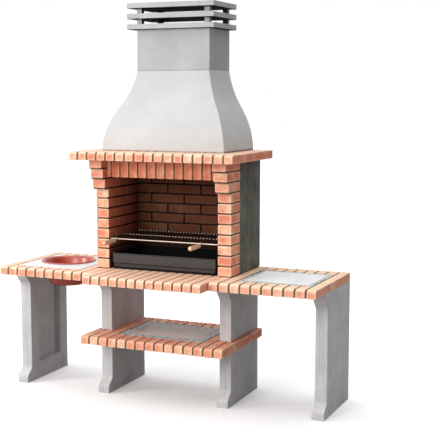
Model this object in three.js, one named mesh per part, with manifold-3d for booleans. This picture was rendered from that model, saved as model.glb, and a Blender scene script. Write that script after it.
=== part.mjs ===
// Outdoor masonry barbecue, in millimetres.
// X runs from left to right, Y from front to back and Z up. The origin is on the ground, in the middle
// of the footprint. Each course, slab and casting is a piece of its own, stacked as it is on site.
import * as THREE from 'three';
import { mergeVertices } from 'three/addons/utils/BufferGeometryUtils.js';
import Module from 'manifold-3d';

const wasm = await Module();
wasm.setup();

// Whole object
const overallDepth = 722;
const overallWidth = 1966;

// Clearances and overruns
const bed = 0.3;
const overrun = 10;
const weldSink = 0.6;
const vertexWeld = 1e-4;

// Brickwork
const slabThickness = 49;
const brickRound = 9;
const wallBrickRound = 6;
const innerArrisWidth = 3;
const jointRecess = 4;
const slabJoint = 10;
const roundSteps = 2;
const wallRoundSteps = 1;

// Legs, their flared feet and their corbelled heads
const legThickness = 71;
const legDepth = 415;
const footDepth = 463;
const footHeight = 38;
const footFlareHeight = 50;
const headDepth = 457;
const headFlareHeight = 55;
const headHeight = 36;
const legArrisWidth = 3;
const bayWidth = 692;
const recessBack = 84;
const recessFront = 331;
const recessLow = 105;
const recessHigh = 592;
const recessDepth = 35;
const recessDraft = 12;

// Lower shelf
const shelfWidth = 890;
const shelfDepth = 613;
const shelfUnderside = 323;
const shelfStripCount = 15;
const shelfBorderCount = 3;
const shelfFrontRow = 128;
const shelfBackRow = 95;
const shelfBandWidth = 46;

// Worktops and hearth
const worktopUnderside = 696;
const worktopDepth = 627;
const worktopBrickCount = 10;
const worktopOuterBorderCount = 1;
const worktopInnerBorderCount = 2;
const worktopFrontRow = 110;
const worktopBackRow = 100;
const sinkFrontRow = 93;
const sinkBackRow = 85;
const worktopBandWidth = 25;
const borderSplitDepth = 396;
const hearthBearing = 18;
const hearthStripCount = 13;
const hearthJoint = 9;
const dryJoint = 6;
const panelThickness = 20;
const panelSet = 1;
const panelClearance = 0.5;

// Sink basin, with its drain and strainer
const basinOuterMarginShare = 0.33;
const basinBackMarginShare = 0.163;
const basinRimShare = 0.7745;
const basinRimWidth = 14;
const basinRimThickness = 7;
const basinFloorShare = 0.775;
const basinHeight = 148;
const basinWall = 9;
const basinCornerRadius = 26;
const basinHoleClearance = 2;
const drainRadius = 22;
const strainerFlangeRadius = 31;
const strainerFlangeThickness = 3;
const strainerWall = 2.5;
const strainerHoleRadius = 4;
const strainerHoleCount = 6;
const strainerHoleCircle = 11;
const basinFacets = 28;
const strainerFacets = 20;

// Firebox
const wallThickness = 82;
const wallDepth = 442;
const columnDepth = 129;
const innerLeaf = 40;
const courseHeight = 50;
const courseJoint = 9;
const courseCount = 11;
const firstCourse = 5.5;
const topCourseCut = 5.5;
const backCourseShift = 3;
const grooveDepth = 12;
const bedBrickLength = 210;
const bedBrickJoint = 10;
const backFacing = 35;
const backPanel = 28;
const mantelGap = 3;
const backBondStart = 127;

// Corbels and lintel
const corbelDepths = [482, 504, 523];
const lintelDepth = 460;
const lintelThickness = 105;
const lintelHeight = 103;
const soldierPitch = 57.5;
const soldierJoint = 8.6;
const soldierCount = 11;

// Mantel, smoke hood and chimney
const mantelOverhang = 77;
const mantelDepth = 612;
const mantelThickness = 48;
const mantelStripCount = 17;
const throatSetback = 11;
const throatFront = 345;
const hoodHeight = 462;
const hoodSetback = 121;
const hoodDepth = 443;
const castingWall = 35;
const chimneyHalfWidth = 229;
const chimneyDepth = 290;
const chimneyHeight = 232;
const chimneyArrisWidth = 5;
const hoodFlareShares = [0, 0.06, 0.145, 0.255, 0.4, 0.575, 0.725, 0.84, 0.93, 0.983, 1];

// Chimney cap
const capSideOverhang = 45;
const capFrontOverhang = 42;
const capSlab = 30;
const capGap = 30;
const capPost = 31;
const capArrisWidth = 4;

// Coal tray
const traySideRoom = 14;
const trayFront = 433;
const trayBack = 68;
const trayTop = 95;
const trayStep = 34;
const traySheetThickness = 3;
const trayStepInset = 4;
const trayHemWidth = 3;
const trayHemHeight = 6;
const trayCorner = 14;
const runnerHeight = 9;
const runnerWidth = 22;
const runnerInset = 90;
const trayCornerSteps = 3;

// Grill
const rodRadius = 4;
const barRadius = 3;
const barPitch = 20;
const barCount = 34;
const grillCourseCount = 3;
const grillFront = 425;
const grillMiddle = 280;
const grillBack = 88;
const rodEndInGroove = 8;
const barDrop = 14;
const leftStemBayCount = 1;
const rightStemBayCount = 28;
const gripFront = 587;
const gripBack = 462;
const gripRadius = 13;
const gripWaist = 11.5;
const gripDrop = 8;
const gripBore = 34;
const ferruleLength = 14;
const ferruleWall = 2;
const stemRadius = 4;
const stemLanding = 22;
const stemSteps = 30;
const rodSides = 8;
const rodFacets = 6;
const gripFacets = 16;

// Levels that follow from the sizes above
const worktopTop = worktopUnderside + slabThickness;
const courseRise = courseHeight + courseJoint;
const wallHeight = firstCourse + courseCount * courseRise - courseJoint - topCourseCut;
const mantelUnderside = worktopTop + wallHeight + mantelGap;
const mantelTop = mantelUnderside + mantelThickness;
const chimneyBase = mantelTop + hoodHeight;
const capBase = chimneyBase + chimneyHeight;
const firebox = bayWidth / 2;
const hearthWidth = bayWidth + 2 * hearthBearing;
const fireboxOuter = firebox + wallThickness;
const backWall = backFacing + backPanel;
const mantelWidth = 2 * (fireboxOuter + mantelOverhang);
const throatHalfWidth = firebox - throatSetback;
const hoodHalfWidth = mantelWidth / 2 - hoodSetback;
const capHalfWidth = chimneyHalfWidth + capSideOverhang;
const capDepth = chimneyDepth + capFrontOverhang;
const trayHalfWidth = firebox - traySideRoom;
const quarterTurn = Math.PI / 2;
const fullTurn = 2 * Math.PI;

// Materials
const finishes = {
  brick: new THREE.MeshStandardMaterial({ color: 0xe0956f, roughness: 0.85, metalness: 0 }),
  concrete: new THREE.MeshStandardMaterial({ color: 0xb9b6b1, roughness: 0.9, metalness: 0 }),
  darkConcrete: new THREE.MeshStandardMaterial({ color: 0x4b4c44, roughness: 0.95, metalness: 0 }),
  paleRender: new THREE.MeshStandardMaterial({ color: 0xe9e7e3, roughness: 0.8, metalness: 0 }),
  stonePanel: new THREE.MeshStandardMaterial({ color: 0xdfe2e4, roughness: 0.6, metalness: 0 }),
  mosaic: new THREE.MeshStandardMaterial({ color: 0x8fa09d, roughness: 0.55, metalness: 0 }),
  terracotta: new THREE.MeshStandardMaterial({ color: 0xa8402c, roughness: 0.25, metalness: 0 }),
  enamel: new THREE.MeshStandardMaterial({ color: 0x514c4b, roughness: 0.5, metalness: 0.6 }),
  chrome: new THREE.MeshStandardMaterial({ color: 0xdedad8, roughness: 0.2, metalness: 1 }),
  wood: new THREE.MeshStandardMaterial({ color: 0xc99160, roughness: 0.55, metalness: 0 }),
};

// Geometry helpers

// One closed body: shared corners merged, flat triangles dropped, faces turned outwards.
function closed(geometry) {
  geometry.deleteAttribute('normal');
  geometry.deleteAttribute('uv');
  const body = mergeVertices(geometry, vertexWeld);
  const position = body.attributes.position;
  const source = body.index.array;
  const a = new THREE.Vector3();
  const b = new THREE.Vector3();
  const c = new THREE.Vector3();
  const kept = [];
  let volume = 0;
  for (let i = 0; i < source.length; i += 3) {
    const [p, q, r] = [source[i], source[i + 1], source[i + 2]];
    if (p === q || q === r || r === p) continue;
    a.fromBufferAttribute(position, p);
    b.fromBufferAttribute(position, q);
    c.fromBufferAttribute(position, r);
    volume += a.dot(b.cross(c));
    kept.push(p, q, r);
  }
  if (volume < 0) kept.reverse();
  body.setIndex(kept);
  return body;
}

function solid(geometry) {
  const body = closed(geometry);
  return new wasm.Manifold(new wasm.Mesh({
    numProp: 3,
    vertProperties: new Float32Array(body.attributes.position.array),
    triVerts: new Uint32Array(body.index.array),
  }));
}

function join(solids) {
  return solids.reduce((whole, next) => whole.add(next));
}

function cut(whole, ...tools) {
  return tools.reduce((rest, tool) => rest.subtract(tool), whole);
}

function geometryOf(body) {
  const mesh = body.getMesh();
  const geometry = new THREE.BufferGeometry();
  geometry.setAttribute('position', new THREE.BufferAttribute(mesh.vertProperties, mesh.numProp));
  geometry.setIndex(Array.from(mesh.triVerts));
  geometry.computeVertexNormals();
  return geometry;
}

// A span that loses the same length at both ends.
function shrink(span, by) {
  return [span[0] + by, span[1] - by];
}

// A block between two values along each axis.
function block(x, y, z) {
  const geometry = new THREE.BoxGeometry(x[1] - x[0], y[1] - y[0], z[1] - z[0]);
  geometry.translate((x[0] + x[1]) / 2, (y[0] + y[1]) / 2, (z[0] + z[1]) / 2);
  return solid(geometry);
}

// A closed skin through a row of rings with the same number of points, capped at both ends.
function loft(rings) {
  const count = rings[0].length;
  const positions = rings.flat().flatMap((point) => point.toArray());
  const index = [];
  for (let i = 0; i + 1 < rings.length; i++) {
    for (let j = 0; j < count; j++) {
      const next = (j + 1) % count;
      const [a, b] = [i * count + j, i * count + next];
      index.push(a, b, b + count, a, b + count, a + count);
    }
  }
  const last = (rings.length - 1) * count;
  for (let j = 1; j + 1 < count; j++) {
    index.push(0, j + 1, j);
    index.push(last, last + j, last + j + 1);
  }
  const geometry = new THREE.BufferGeometry();
  geometry.setAttribute('position', new THREE.Float32BufferAttribute(positions, 3));
  geometry.setIndex(index);
  return geometry;
}

// A brick that fills three spans, with the arrises of its show face rounded over.
const showAxes = { top: 'z', front: 'y', left: 'x', right: 'x' };
function brick(x, y, z, face, round = brickRound, steps = roundSteps) {
  const spans = { x, y, z };
  const axis = showAxes[face];
  const [first, second] = Object.keys(spans).filter((name) => name !== axis);
  const isLowFace = face === 'front' || face === 'left';
  const [near, far] = isLowFace ? [...spans[axis]].reverse() : spans[axis];
  const outward = Math.sign(far - near);
  const ring = (along, inset) => {
    const [p, q] = [shrink(spans[first], inset), shrink(spans[second], inset)];
    return [[p[0], q[0]], [p[1], q[0]], [p[1], q[1]], [p[0], q[1]]].map(([u, v]) => {
      const point = new THREE.Vector3();
      point[axis] = along;
      point[first] = u;
      point[second] = v;
      return point;
    });
  };
  const rings = [ring(near, 0)];
  for (let i = 0; i <= steps; i++) {
    const angle = quarterTurn * i / steps;
    rings.push(ring(far - outward * round * (1 - Math.sin(angle)), round * (1 - Math.cos(angle))));
  }
  return solid(loft(rings));
}

// Equal strips with a mortar joint between each two.
function strips(low, high, count, joint) {
  const width = (high - low - joint * (count - 1)) / count;
  return Array.from({ length: count }, (_, i) => {
    const start = low + i * (width + joint);
    return [start, start + width];
  });
}

// The same spans on the left or right half: side is -1 or 1.
function sideSpan(side, near, far) {
  return side > 0 ? [near, far] : [-far, -near];
}

function rectangleRing(x, y, z, corner = 0, steps = 1) {
  const corners = [[x[1], y[1]], [x[0], y[1]], [x[0], y[0]], [x[1], y[0]]];
  if (corner === 0) return corners.map(([u, v]) => new THREE.Vector3(u, v, z));
  return corners.flatMap(([u, v], quarter) => Array.from({ length: steps + 1 }, (_, i) => {
    const angle = quarterTurn * (quarter + i / steps);
    const centreX = u === x[0] ? u + corner : u - corner;
    const centreY = v === y[0] ? v + corner : v - corner;
    return new THREE.Vector3(centreX + corner * Math.cos(angle), centreY + corner * Math.sin(angle), z);
  }));
}

// A slab with eased arrises, top and bottom.
function easedSlab(x, y, z, arris) {
  return solid(loft([
    rectangleRing(shrink(x, arris), shrink(y, arris), z[0]),
    rectangleRing(x, y, z[0] + arris),
    rectangleRing(x, y, z[1] - arris),
    rectangleRing(shrink(x, arris), shrink(y, arris), z[1]),
  ]));
}

// A round bar along X, centred on x = 0.
function crossRod(halfLength, y, radius, facets) {
  const geometry = new THREE.CylinderGeometry(radius, radius, 2 * halfLength, facets);
  geometry.rotateZ(quarterTurn);
  geometry.translate(0, y, 0);
  return solid(geometry);
}

// A turned piece: points are [radius, height], and the axis is Z.
function turned(points, facets) {
  const geometry = new THREE.LatheGeometry(points.map(([r, h]) => new THREE.Vector2(r, h)), facets);
  geometry.rotateX(quarterTurn);
  return geometry;
}

// Points of a quarter arc about a centre, from one angle to another.
function arc(centreR, centreH, radius, from, to, steps) {
  return Array.from({ length: steps + 1 }, (_, i) => {
    const angle = from + (to - from) * i / steps;
    return [centreR + radius * Math.cos(angle), centreH + radius * Math.sin(angle)];
  });
}

// Scene graph. Inside the site group Y is 0 at the back plane and negative towards the front.
const barbecue = new THREE.Group();
const site = new THREE.Group();
site.position.y = overallDepth / 2;
barbecue.add(site);

function level(z) {
  const group = new THREE.Group();
  group.position.z = z;
  site.add(group);
  return group;
}

function place(group, name, geometry, material, x = 0, y = 0, z = 0) {
  const mesh = new THREE.Mesh(geometry, material);
  mesh.name = name;
  mesh.position.set(x, y, z);
  group.add(mesh);
  return mesh;
}

// Legs

// Side outline of a leg from z = low to high, with or without its foot and its head.
function legOutline(low, high, hasFoot, hasHead) {
  const shape = new THREE.Shape();
  shape.moveTo(0, low);
  shape.lineTo(0, high);
  if (hasHead) {
    const flareTop = high - headHeight;
    const flareBase = flareTop - headFlareHeight;
    const middle = (flareTop + flareBase) / 2;
    shape.lineTo(-headDepth, high);
    shape.lineTo(-headDepth, flareTop);
    shape.bezierCurveTo(-headDepth, middle, -legDepth, middle, -legDepth, flareBase);
  } else {
    shape.lineTo(-legDepth, high);
  }
  if (hasFoot) {
    const flareBase = low + footHeight;
    const flareTop = flareBase + footFlareHeight;
    const middle = (flareTop + flareBase) / 2;
    shape.lineTo(-legDepth, flareTop);
    shape.bezierCurveTo(-legDepth, middle, -footDepth, middle, -footDepth, flareBase);
    shape.lineTo(-footDepth, low);
  } else {
    shape.lineTo(-legDepth, low);
  }
  return shape;
}

// A leg cast flat: its outline runs through the thickness, with eased edges. Its left face is at x = 0.
function leg(low, high, hasFoot, hasHead) {
  const geometry = new THREE.ExtrudeGeometry(legOutline(low, high, hasFoot, hasHead), {
    depth: legThickness - 2 * legArrisWidth,
    bevelThickness: legArrisWidth,
    bevelSize: legArrisWidth,
    bevelOffset: -legArrisWidth,
    bevelSegments: 1,
    curveSegments: 6,
  });
  geometry.translate(0, 0, legArrisWidth);
  geometry.applyMatrix4(new THREE.Matrix4().makeBasis(
    new THREE.Vector3(0, 1, 0), new THREE.Vector3(0, 0, 1), new THREE.Vector3(1, 0, 0)));
  return solid(geometry);
}

// The drafted panel that is sunk into the inner face of each outer leg.
function legRecess(face, into) {
  const at = (depth, inset) => [
    new THREE.Vector3(face + into * depth, -recessFront + inset, recessLow + inset),
    new THREE.Vector3(face + into * depth, -recessBack - inset, recessLow + inset),
    new THREE.Vector3(face + into * depth, -recessBack - inset, recessHigh - inset),
    new THREE.Vector3(face + into * depth, -recessFront + inset, recessHigh - inset),
  ];
  return solid(loft([at(-overrun, 0), at(0, 0), at(recessDepth, recessDraft)]));
}

const ground = level(0);
const outerLegX = overallWidth / 2 - legThickness;
const legTop = worktopUnderside - bed;
const leftOuterLeg = cut(leg(0, legTop, true, true), legRecess(legThickness, -1));
const rightOuterLeg = cut(leg(0, legTop, true, true), legRecess(0, 1));
place(ground, 'left_outer_leg', geometryOf(leftOuterLeg), finishes.concrete, -outerLegX - legThickness);
place(ground, 'right_outer_leg', geometryOf(rightOuterLeg), finishes.concrete, outerLegX);
const lowerLeg = geometryOf(leg(0, shelfUnderside - bed, true, false));
const upperLeg = geometryOf(leg(shelfUnderside + slabThickness + bed, legTop, false, true));
for (const [name, x] of [['left', -firebox - legThickness], ['right', firebox]]) {
  place(ground, `${name}_inner_leg_lower`, lowerLeg, finishes.concrete, x);
  place(ground, `${name}_inner_leg_upper`, upperLeg, finishes.concrete, x);
}

// Paved slabs: a cast mortar bed with brick strips standing proud of it

function pavedBed(x, depth, thickness) {
  return block(shrink(x, jointRecess), [-depth + jointRecess, 0], [0, thickness - jointRecess]);
}

function paving(x, y, thickness = slabThickness) {
  return brick(x, y, [0, thickness], 'top');
}

// A slab bordered with bricks round an inset panel. Left and right are the numbers of strips on each side.
function borderedSlab(columns, left, right, depth, frontRow, backRow, splitColumn = -1) {
  const x = [columns[0][0], columns.at(-1)[1]];
  const bricks = columns.flatMap((column, i) => {
    const isBorder = i < left || i >= columns.length - right;
    if (i === splitColumn) {
      const split = [-borderSplitDepth - slabJoint / 2, -borderSplitDepth + slabJoint / 2];
      return [paving(column, [-depth, split[0]]), paving(column, [split[1], 0])];
    }
    if (isBorder) return [paving(column, [-depth, 0])];
    return [paving(column, [-depth, -depth + frontRow]), paving(column, [-backRow, 0])];
  });
  const inset = {
    x: [columns[left][0], columns[columns.length - right - 1][1]],
    y: [-depth + frontRow + slabJoint, -backRow - slabJoint],
    z: [slabThickness - panelThickness, slabThickness],
  };
  const pocket = block(inset.x, inset.y, [inset.z[0] - bed, inset.z[1] + overrun]);
  return { body: cut(join([pavedBed(x, depth, slabThickness), ...bricks]), pocket), inset };
}

// The mosaic band that frames a panel, and the panel inside it.
function insetBand(inset, width) {
  const z = [inset.z[0], inset.z[1] - panelSet];
  const outer = block(shrink(inset.x, panelClearance), shrink(inset.y, panelClearance), z);
  const opening = block(shrink(inset.x, width), shrink(inset.y, width), [z[0] - overrun, z[1] + overrun]);
  return cut(outer, opening);
}

function insetPanel(inset, width) {
  const margin = width + panelClearance;
  return block(shrink(inset.x, margin), shrink(inset.y, margin), [inset.z[0], inset.z[1] - panelSet]);
}

// Lower shelf
const shelf = level(shelfUnderside);
const shelfColumns = strips(-shelfWidth / 2, shelfWidth / 2, shelfStripCount, slabJoint);
const shelfSlab = borderedSlab(shelfColumns, shelfBorderCount, shelfBorderCount, shelfDepth, shelfFrontRow,
  shelfBackRow);
place(shelf, 'lower_shelf_slab', geometryOf(shelfSlab.body), finishes.brick);
place(shelf, 'lower_shelf_mosaic_band', geometryOf(insetBand(shelfSlab.inset, shelfBandWidth)),
  finishes.mosaic);
place(shelf, 'lower_shelf_panel', geometryOf(insetPanel(shelfSlab.inset, shelfBandWidth)),
  finishes.stonePanel);

// Hearth slab, paved with strips that run from front to back
const worktops = level(worktopUnderside);
function stripSlab(width, depth, thickness, count, joint) {
  const columns = strips(-width / 2, width / 2, count, joint);
  const x = [-width / 2, width / 2];
  const bricks = columns.map((column) => paving(column, [-depth, 0], thickness));
  return join([pavedBed(x, depth, thickness), ...bricks]);
}
const hearth = stripSlab(hearthWidth, overallDepth, slabThickness, hearthStripCount, hearthJoint);
place(worktops, 'hearth_slab', geometryOf(hearth), finishes.brick);

// Worktops
const worktopInner = hearthWidth / 2 + dryJoint;
const worktopOuter = overallWidth / 2;
const rightColumns = strips(worktopInner, worktopOuter, worktopBrickCount, slabJoint);
const rightWorktop = borderedSlab(rightColumns, worktopInnerBorderCount, worktopOuterBorderCount,
  worktopDepth, worktopFrontRow, worktopBackRow, worktopBrickCount - 1);
place(worktops, 'right_worktop_slab', geometryOf(rightWorktop.body), finishes.brick);
place(worktops, 'right_worktop_mosaic_band', geometryOf(insetBand(rightWorktop.inset, worktopBandWidth)),
  finishes.mosaic);
place(worktops, 'right_worktop_panel', geometryOf(insetPanel(rightWorktop.inset, worktopBandWidth)),
  finishes.stonePanel);

const leftColumns = strips(-worktopOuter, -worktopInner, worktopBrickCount, slabJoint);
const leftWorktop = borderedSlab(leftColumns, worktopOuterBorderCount, worktopInnerBorderCount,
  worktopDepth, sinkFrontRow, sinkBackRow, 0);

// The basin takes its size from the panel, and its place from the room that the panel leaves round it.
const panelWidth = leftWorktop.inset.x[1] - leftWorktop.inset.x[0];
const panelDepth = leftWorktop.inset.y[1] - leftWorktop.inset.y[0];
const basinRimRadius = (basinRimShare * Math.min(panelWidth, panelDepth)) / 2;
const basinMouthRadius = basinRimRadius - basinRimWidth;
const basinFloorRadius = basinFloorShare * basinMouthRadius;
const holeRadius = basinMouthRadius + basinHoleClearance;
const roomAcross = panelWidth - 2 * holeRadius;
const roomDeep = panelDepth - 2 * holeRadius;
const basinX = leftWorktop.inset.x[0] + basinOuterMarginShare * roomAcross + holeRadius;
const basinY = leftWorktop.inset.y[1] - basinBackMarginShare * roomDeep - holeRadius;
const cutterHeight = slabThickness + 2 * overrun;
const basinHole = new THREE.CylinderGeometry(holeRadius, holeRadius, cutterHeight, basinFacets);
basinHole.rotateX(quarterTurn);
basinHole.translate(basinX, basinY, slabThickness / 2);
const basinCutter = solid(basinHole);
place(worktops, 'left_worktop_slab', geometryOf(cut(leftWorktop.body, basinCutter)), finishes.brick);
place(worktops, 'left_worktop_panel', geometryOf(cut(insetPanel(leftWorktop.inset, 0), basinCutter)),
  finishes.stonePanel);

// Sink basin: a glazed bowl that hangs by its rim. Local z is 0 on top of the panel.
const basin = level(worktopTop - panelSet + bed);
function basinProfile() {
  const floor = basinRimThickness - basinHeight;
  const outerFloor = basinFloorRadius - basinCornerRadius;
  const innerCorner = basinCornerRadius - basinWall;
  return [
    [drainRadius, floor],
    ...arc(outerFloor, floor + basinCornerRadius, basinCornerRadius, -quarterTurn, 0, 4),
    [basinMouthRadius, 0],
    [basinRimRadius - basinRimThickness / 2, 0],
    [basinRimRadius, basinRimThickness / 2],
    [basinRimRadius - basinRimThickness / 2, basinRimThickness],
    [basinMouthRadius - basinWall, basinRimThickness / 2],
    ...arc(outerFloor, floor + basinCornerRadius, innerCorner, 0, -quarterTurn, 4),
    [drainRadius, floor + basinWall],
    [drainRadius, floor],
  ];
}
place(basin, 'sink_basin', closed(turned(basinProfile(), basinFacets)), finishes.terracotta, basinX,
  basinY);

// Strainer: a flanged sleeve in the drain, closed by a perforated plate. Its z is 0 on the bowl's floor.
function strainerBody() {
  const sleeve = drainRadius - panelClearance;
  const bore = sleeve - strainerWall;
  const floor = -basinWall;
  const shell = solid(turned([
    [0, 0],
    [bore, 0],
    [bore, floor],
    [sleeve, floor],
    [sleeve, 0],
    [strainerFlangeRadius, 0],
    [strainerFlangeRadius - strainerFlangeThickness, strainerFlangeThickness],
    [0, strainerFlangeThickness],
  ], strainerFacets));
  const holes = Array.from({ length: strainerHoleCount }, (_, i) => {
    const angle = fullTurn * i / strainerHoleCount;
    const hole = new THREE.CylinderGeometry(strainerHoleRadius, strainerHoleRadius, 2 * overrun, rodFacets);
    hole.rotateX(quarterTurn);
    hole.translate(strainerHoleCircle * Math.cos(angle), strainerHoleCircle * Math.sin(angle), 0);
    return solid(hole);
  });
  return cut(shell, ...holes);
}
place(basin, 'sink_strainer', geometryOf(strainerBody()), finishes.chrome, basinX, basinY,
  basinRimThickness - basinHeight + basinWall + bed);

// Firebox: two brick walls, their concrete outer leaves and the back wall. Local z is 0 on the hearth.
const fire = level(worktopTop);

// The lower and upper edge of a course. The top course is cut to end under the mantel.
function courseSpan(course, shift = 0) {
  const base = firstCourse + shift + course * courseRise;
  return [base, Math.min(base + courseHeight, wallHeight)];
}

// Column bricks up to the corbels, and a full-height inner leaf in a broken bond. The joints of the inner
// face are raked deep, so that they carry the grill at any course.
function brickWall(side) {
  const columnCourses = courseCount - corbelDepths.length;
  const columnTop = courseSpan(columnCourses)[0] - bed - courseJoint;
  const leafBack = -backWall - bed;
  const columnBack = -wallDepth + columnDepth;
  const pieces = [
    block(sideSpan(side, firebox + grooveDepth, fireboxOuter - jointRecess),
      [-wallDepth + jointRecess, columnBack], [bed, columnTop]),
    block(sideSpan(side, firebox + grooveDepth, firebox + innerLeaf), [columnBack - overrun, leafBack],
      [bed, columnTop]),
    block(sideSpan(side, firebox + grooveDepth, firebox + innerLeaf), [columnBack, leafBack],
      [bed, wallHeight]),
  ];
  for (let course = 0; course < courseCount; course++) {
    const z = courseSpan(course);
    const isColumn = course < columnCourses;
    if (isColumn) {
      pieces.push(brick(sideSpan(side, firebox, fireboxOuter), [-wallDepth, columnBack], z, 'front',
        wallBrickRound, wallRoundSteps));
    }
    const leafX = sideSpan(side, firebox, firebox + innerLeaf);
    const firstJoint = course % 2 === 0 ? columnBack : -wallDepth + bedBrickLength;
    const start = isColumn ? -wallDepth + columnDepth / 2 : columnBack;
    if (firstJoint > start) pieces.push(block(leafX, [start, firstJoint], z));
    const face = side > 0 ? 'left' : 'right';
    pieces.push(brick(leafX, [firstJoint + bedBrickJoint, leafBack], z, face, innerArrisWidth, 1));
  }
  return join(pieces);
}

// The three courses that step out under the mantel.
function corbel(side) {
  const columnBack = -wallDepth + columnDepth;
  const firstCorbel = courseCount - corbelDepths.length;
  const base = courseSpan(firstCorbel)[0] - courseJoint;
  const insetX = sideSpan(side, firebox + innerLeaf + bed + jointRecess, fireboxOuter - jointRecess);
  const pieces = [];
  corbelDepths.forEach((depth, i) => {
    const z = courseSpan(firstCorbel + i);
    const frontX = sideSpan(side, firebox, fireboxOuter);
    pieces.push(brick(frontX, [-depth, columnBack - bed], z, 'front', wallBrickRound, wallRoundSteps));
    pieces.push(block(shrink(frontX, jointRecess), [-depth + jointRecess, columnBack - bed - jointRecess],
      [i === 0 ? base : z[0] - courseJoint, z[0] + jointRecess]));
  });
  pieces.push(block(insetX, [columnBack - overrun, columnBack - bed], [base, wallHeight]));
  return join(pieces);
}

for (const [name, side] of [['left', -1], ['right', 1]]) {
  place(fire, `${name}_brick_wall`, geometryOf(brickWall(side)), finishes.brick);
  place(fire, `${name}_corbel`, geometryOf(corbel(side)), finishes.brick);
  const panelX = sideSpan(side, firebox + innerLeaf + bed, fireboxOuter);
  const panel = easedSlab(panelX, [-wallDepth + columnDepth + bed, 0], [bed, wallHeight], legArrisWidth);
  place(fire, `${name}_side_panel`, geometryOf(panel), finishes.darkConcrete);
}

// Back wall: brick facing in a half bond, against a plain concrete panel.
function backBrickwork() {
  const half = firebox + innerLeaf;
  const pitch = bedBrickLength + bedBrickJoint;
  const y = [-backWall, -backPanel - bed];
  const pieces = [block([-half, half], [y[0] + jointRecess, y[1]], [bed, wallHeight])];
  for (let course = 0; course < courseCount; course++) {
    const first = -half + backBondStart + (course % 2 === 0 ? 0 : pitch / 2);
    const edges = [-half];
    for (let joint = first; joint < firebox; joint += pitch) {
      edges.push(joint - bedBrickJoint / 2, joint + bedBrickJoint / 2);
    }
    edges.push(half);
    for (let i = 0; i < edges.length; i += 2) {
      pieces.push(brick([edges[i], edges[i + 1]], y, courseSpan(course, backCourseShift), 'front',
        innerArrisWidth, 1));
    }
  }
  return join(pieces);
}
place(fire, 'back_brick_wall', geometryOf(backBrickwork()), finishes.brick);
const backPanelX = [-firebox - innerLeaf, firebox + innerLeaf];
place(fire, 'back_panel', geometryOf(block(backPanelX, [-backPanel, 0], [bed, wallHeight])),
  finishes.darkConcrete);

// Lintel: soldier bricks on a cast beam that spans between the walls. Local z is 0 under the mantel.
const lintelLevel = level(mantelUnderside - bed);
function lintel() {
  const half = firebox - bed;
  const front = -lintelDepth;
  const z = [-lintelHeight, 0];
  const pieces = [block([-half, half], [front + jointRecess, front + lintelThickness],
    [z[0] + jointRecess, z[1]])];
  const firstJoint = -soldierPitch * soldierCount / 2;
  let edge = -half;
  for (let i = 0; i <= soldierCount + 1; i++) {
    const end = i > soldierCount ? half : firstJoint + i * soldierPitch - soldierJoint / 2;
    pieces.push(brick([edge, end], [front, front + lintelThickness], z, 'front', wallBrickRound,
      wallRoundSteps));
    edge = end + soldierJoint;
  }
  return join(pieces);
}
place(lintelLevel, 'lintel', geometryOf(lintel()), finishes.brick);

// Mantel slab, with the smoke opening through it
const mantelLevel = level(mantelUnderside);
const smokeOpening = block([-throatHalfWidth, throatHalfWidth], [-throatFront, -backWall],
  [-overrun, mantelThickness + overrun]);
const mantel = stripSlab(mantelWidth, mantelDepth, mantelThickness, mantelStripCount, slabJoint);
place(mantelLevel, 'mantel_slab', geometryOf(cut(mantel, smokeOpening)), finishes.brick);

// Smoke hood: an ogee that gathers to the chimney, flat at the back. Local z is 0 on the mantel.
const hoodLevel = level(mantelTop + bed);
function hoodRings(wall) {
  const height = hoodHeight - bed;
  return hoodFlareShares.map((share, i) => {
    const half = chimneyHalfWidth + share * (hoodHalfWidth - chimneyHalfWidth) - wall;
    const depth = chimneyDepth + share * (hoodDepth - chimneyDepth) - wall;
    return rectangleRing([-half, half], [-depth, -wall], height * (1 - i / (hoodFlareShares.length - 1)));
  });
}

function hood() {
  const inner = hoodRings(castingWall);
  const above = inner[0].map((point) => point.clone().setZ(point.z + overrun));
  const below = inner.at(-1).map((point) => point.clone().setZ(point.z - overrun));
  return cut(solid(loft(hoodRings(0))), solid(loft([above, ...inner, below])));
}
place(hoodLevel, 'smoke_hood', geometryOf(hood()), finishes.paleRender);

// Chimney block
const chimneyLevel = level(chimneyBase + bed);
function flueCutter(height) {
  const half = chimneyHalfWidth - castingWall;
  return block([-half, half], [-chimneyDepth + castingWall, -castingWall], [-overrun, height + overrun]);
}
const chimneyShell = easedSlab([-chimneyHalfWidth, chimneyHalfWidth], [-chimneyDepth, 0],
  [0, chimneyHeight - bed], chimneyArrisWidth);
place(chimneyLevel, 'chimney_block', geometryOf(cut(chimneyShell, flueCutter(chimneyHeight))),
  finishes.paleRender);

// Chimney cap: two open rings and a closed lid, kept apart by posts over the corners of the chimney
const cap = level(capBase + bed);
const capX = [-capHalfWidth, capHalfWidth];
const capPlate = easedSlab(capX, [-capDepth, 0], [0, capSlab - bed], capArrisWidth);
const capRing = geometryOf(cut(capPlate, flueCutter(capSlab)));
const capRise = capSlab + capGap;
place(cap, 'lower_cap_ring', capRing, finishes.paleRender);
place(cap, 'upper_cap_ring', capRing, finishes.paleRender, 0, 0, capRise);
place(cap, 'cap_lid', geometryOf(easedSlab(capX, [-capDepth, 0], [0, capSlab - bed], capArrisWidth)),
  finishes.paleRender, 0, 0, 2 * capRise);
const post = geometryOf(block([0, capPost], [0, capPost], [0, capGap - bed]));
for (const [tier, z] of [['lower', capSlab], ['upper', capSlab + capRise]]) {
  for (const [row, y] of [['front', -chimneyDepth], ['back', -capPost]]) {
    for (const [side, x] of [['left', -chimneyHalfWidth], ['right', chimneyHalfWidth - capPost]]) {
      place(cap, `${tier}_cap_post_${row}_${side}`, post, finishes.paleRender, x, y, z);
    }
  }
}

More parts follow.
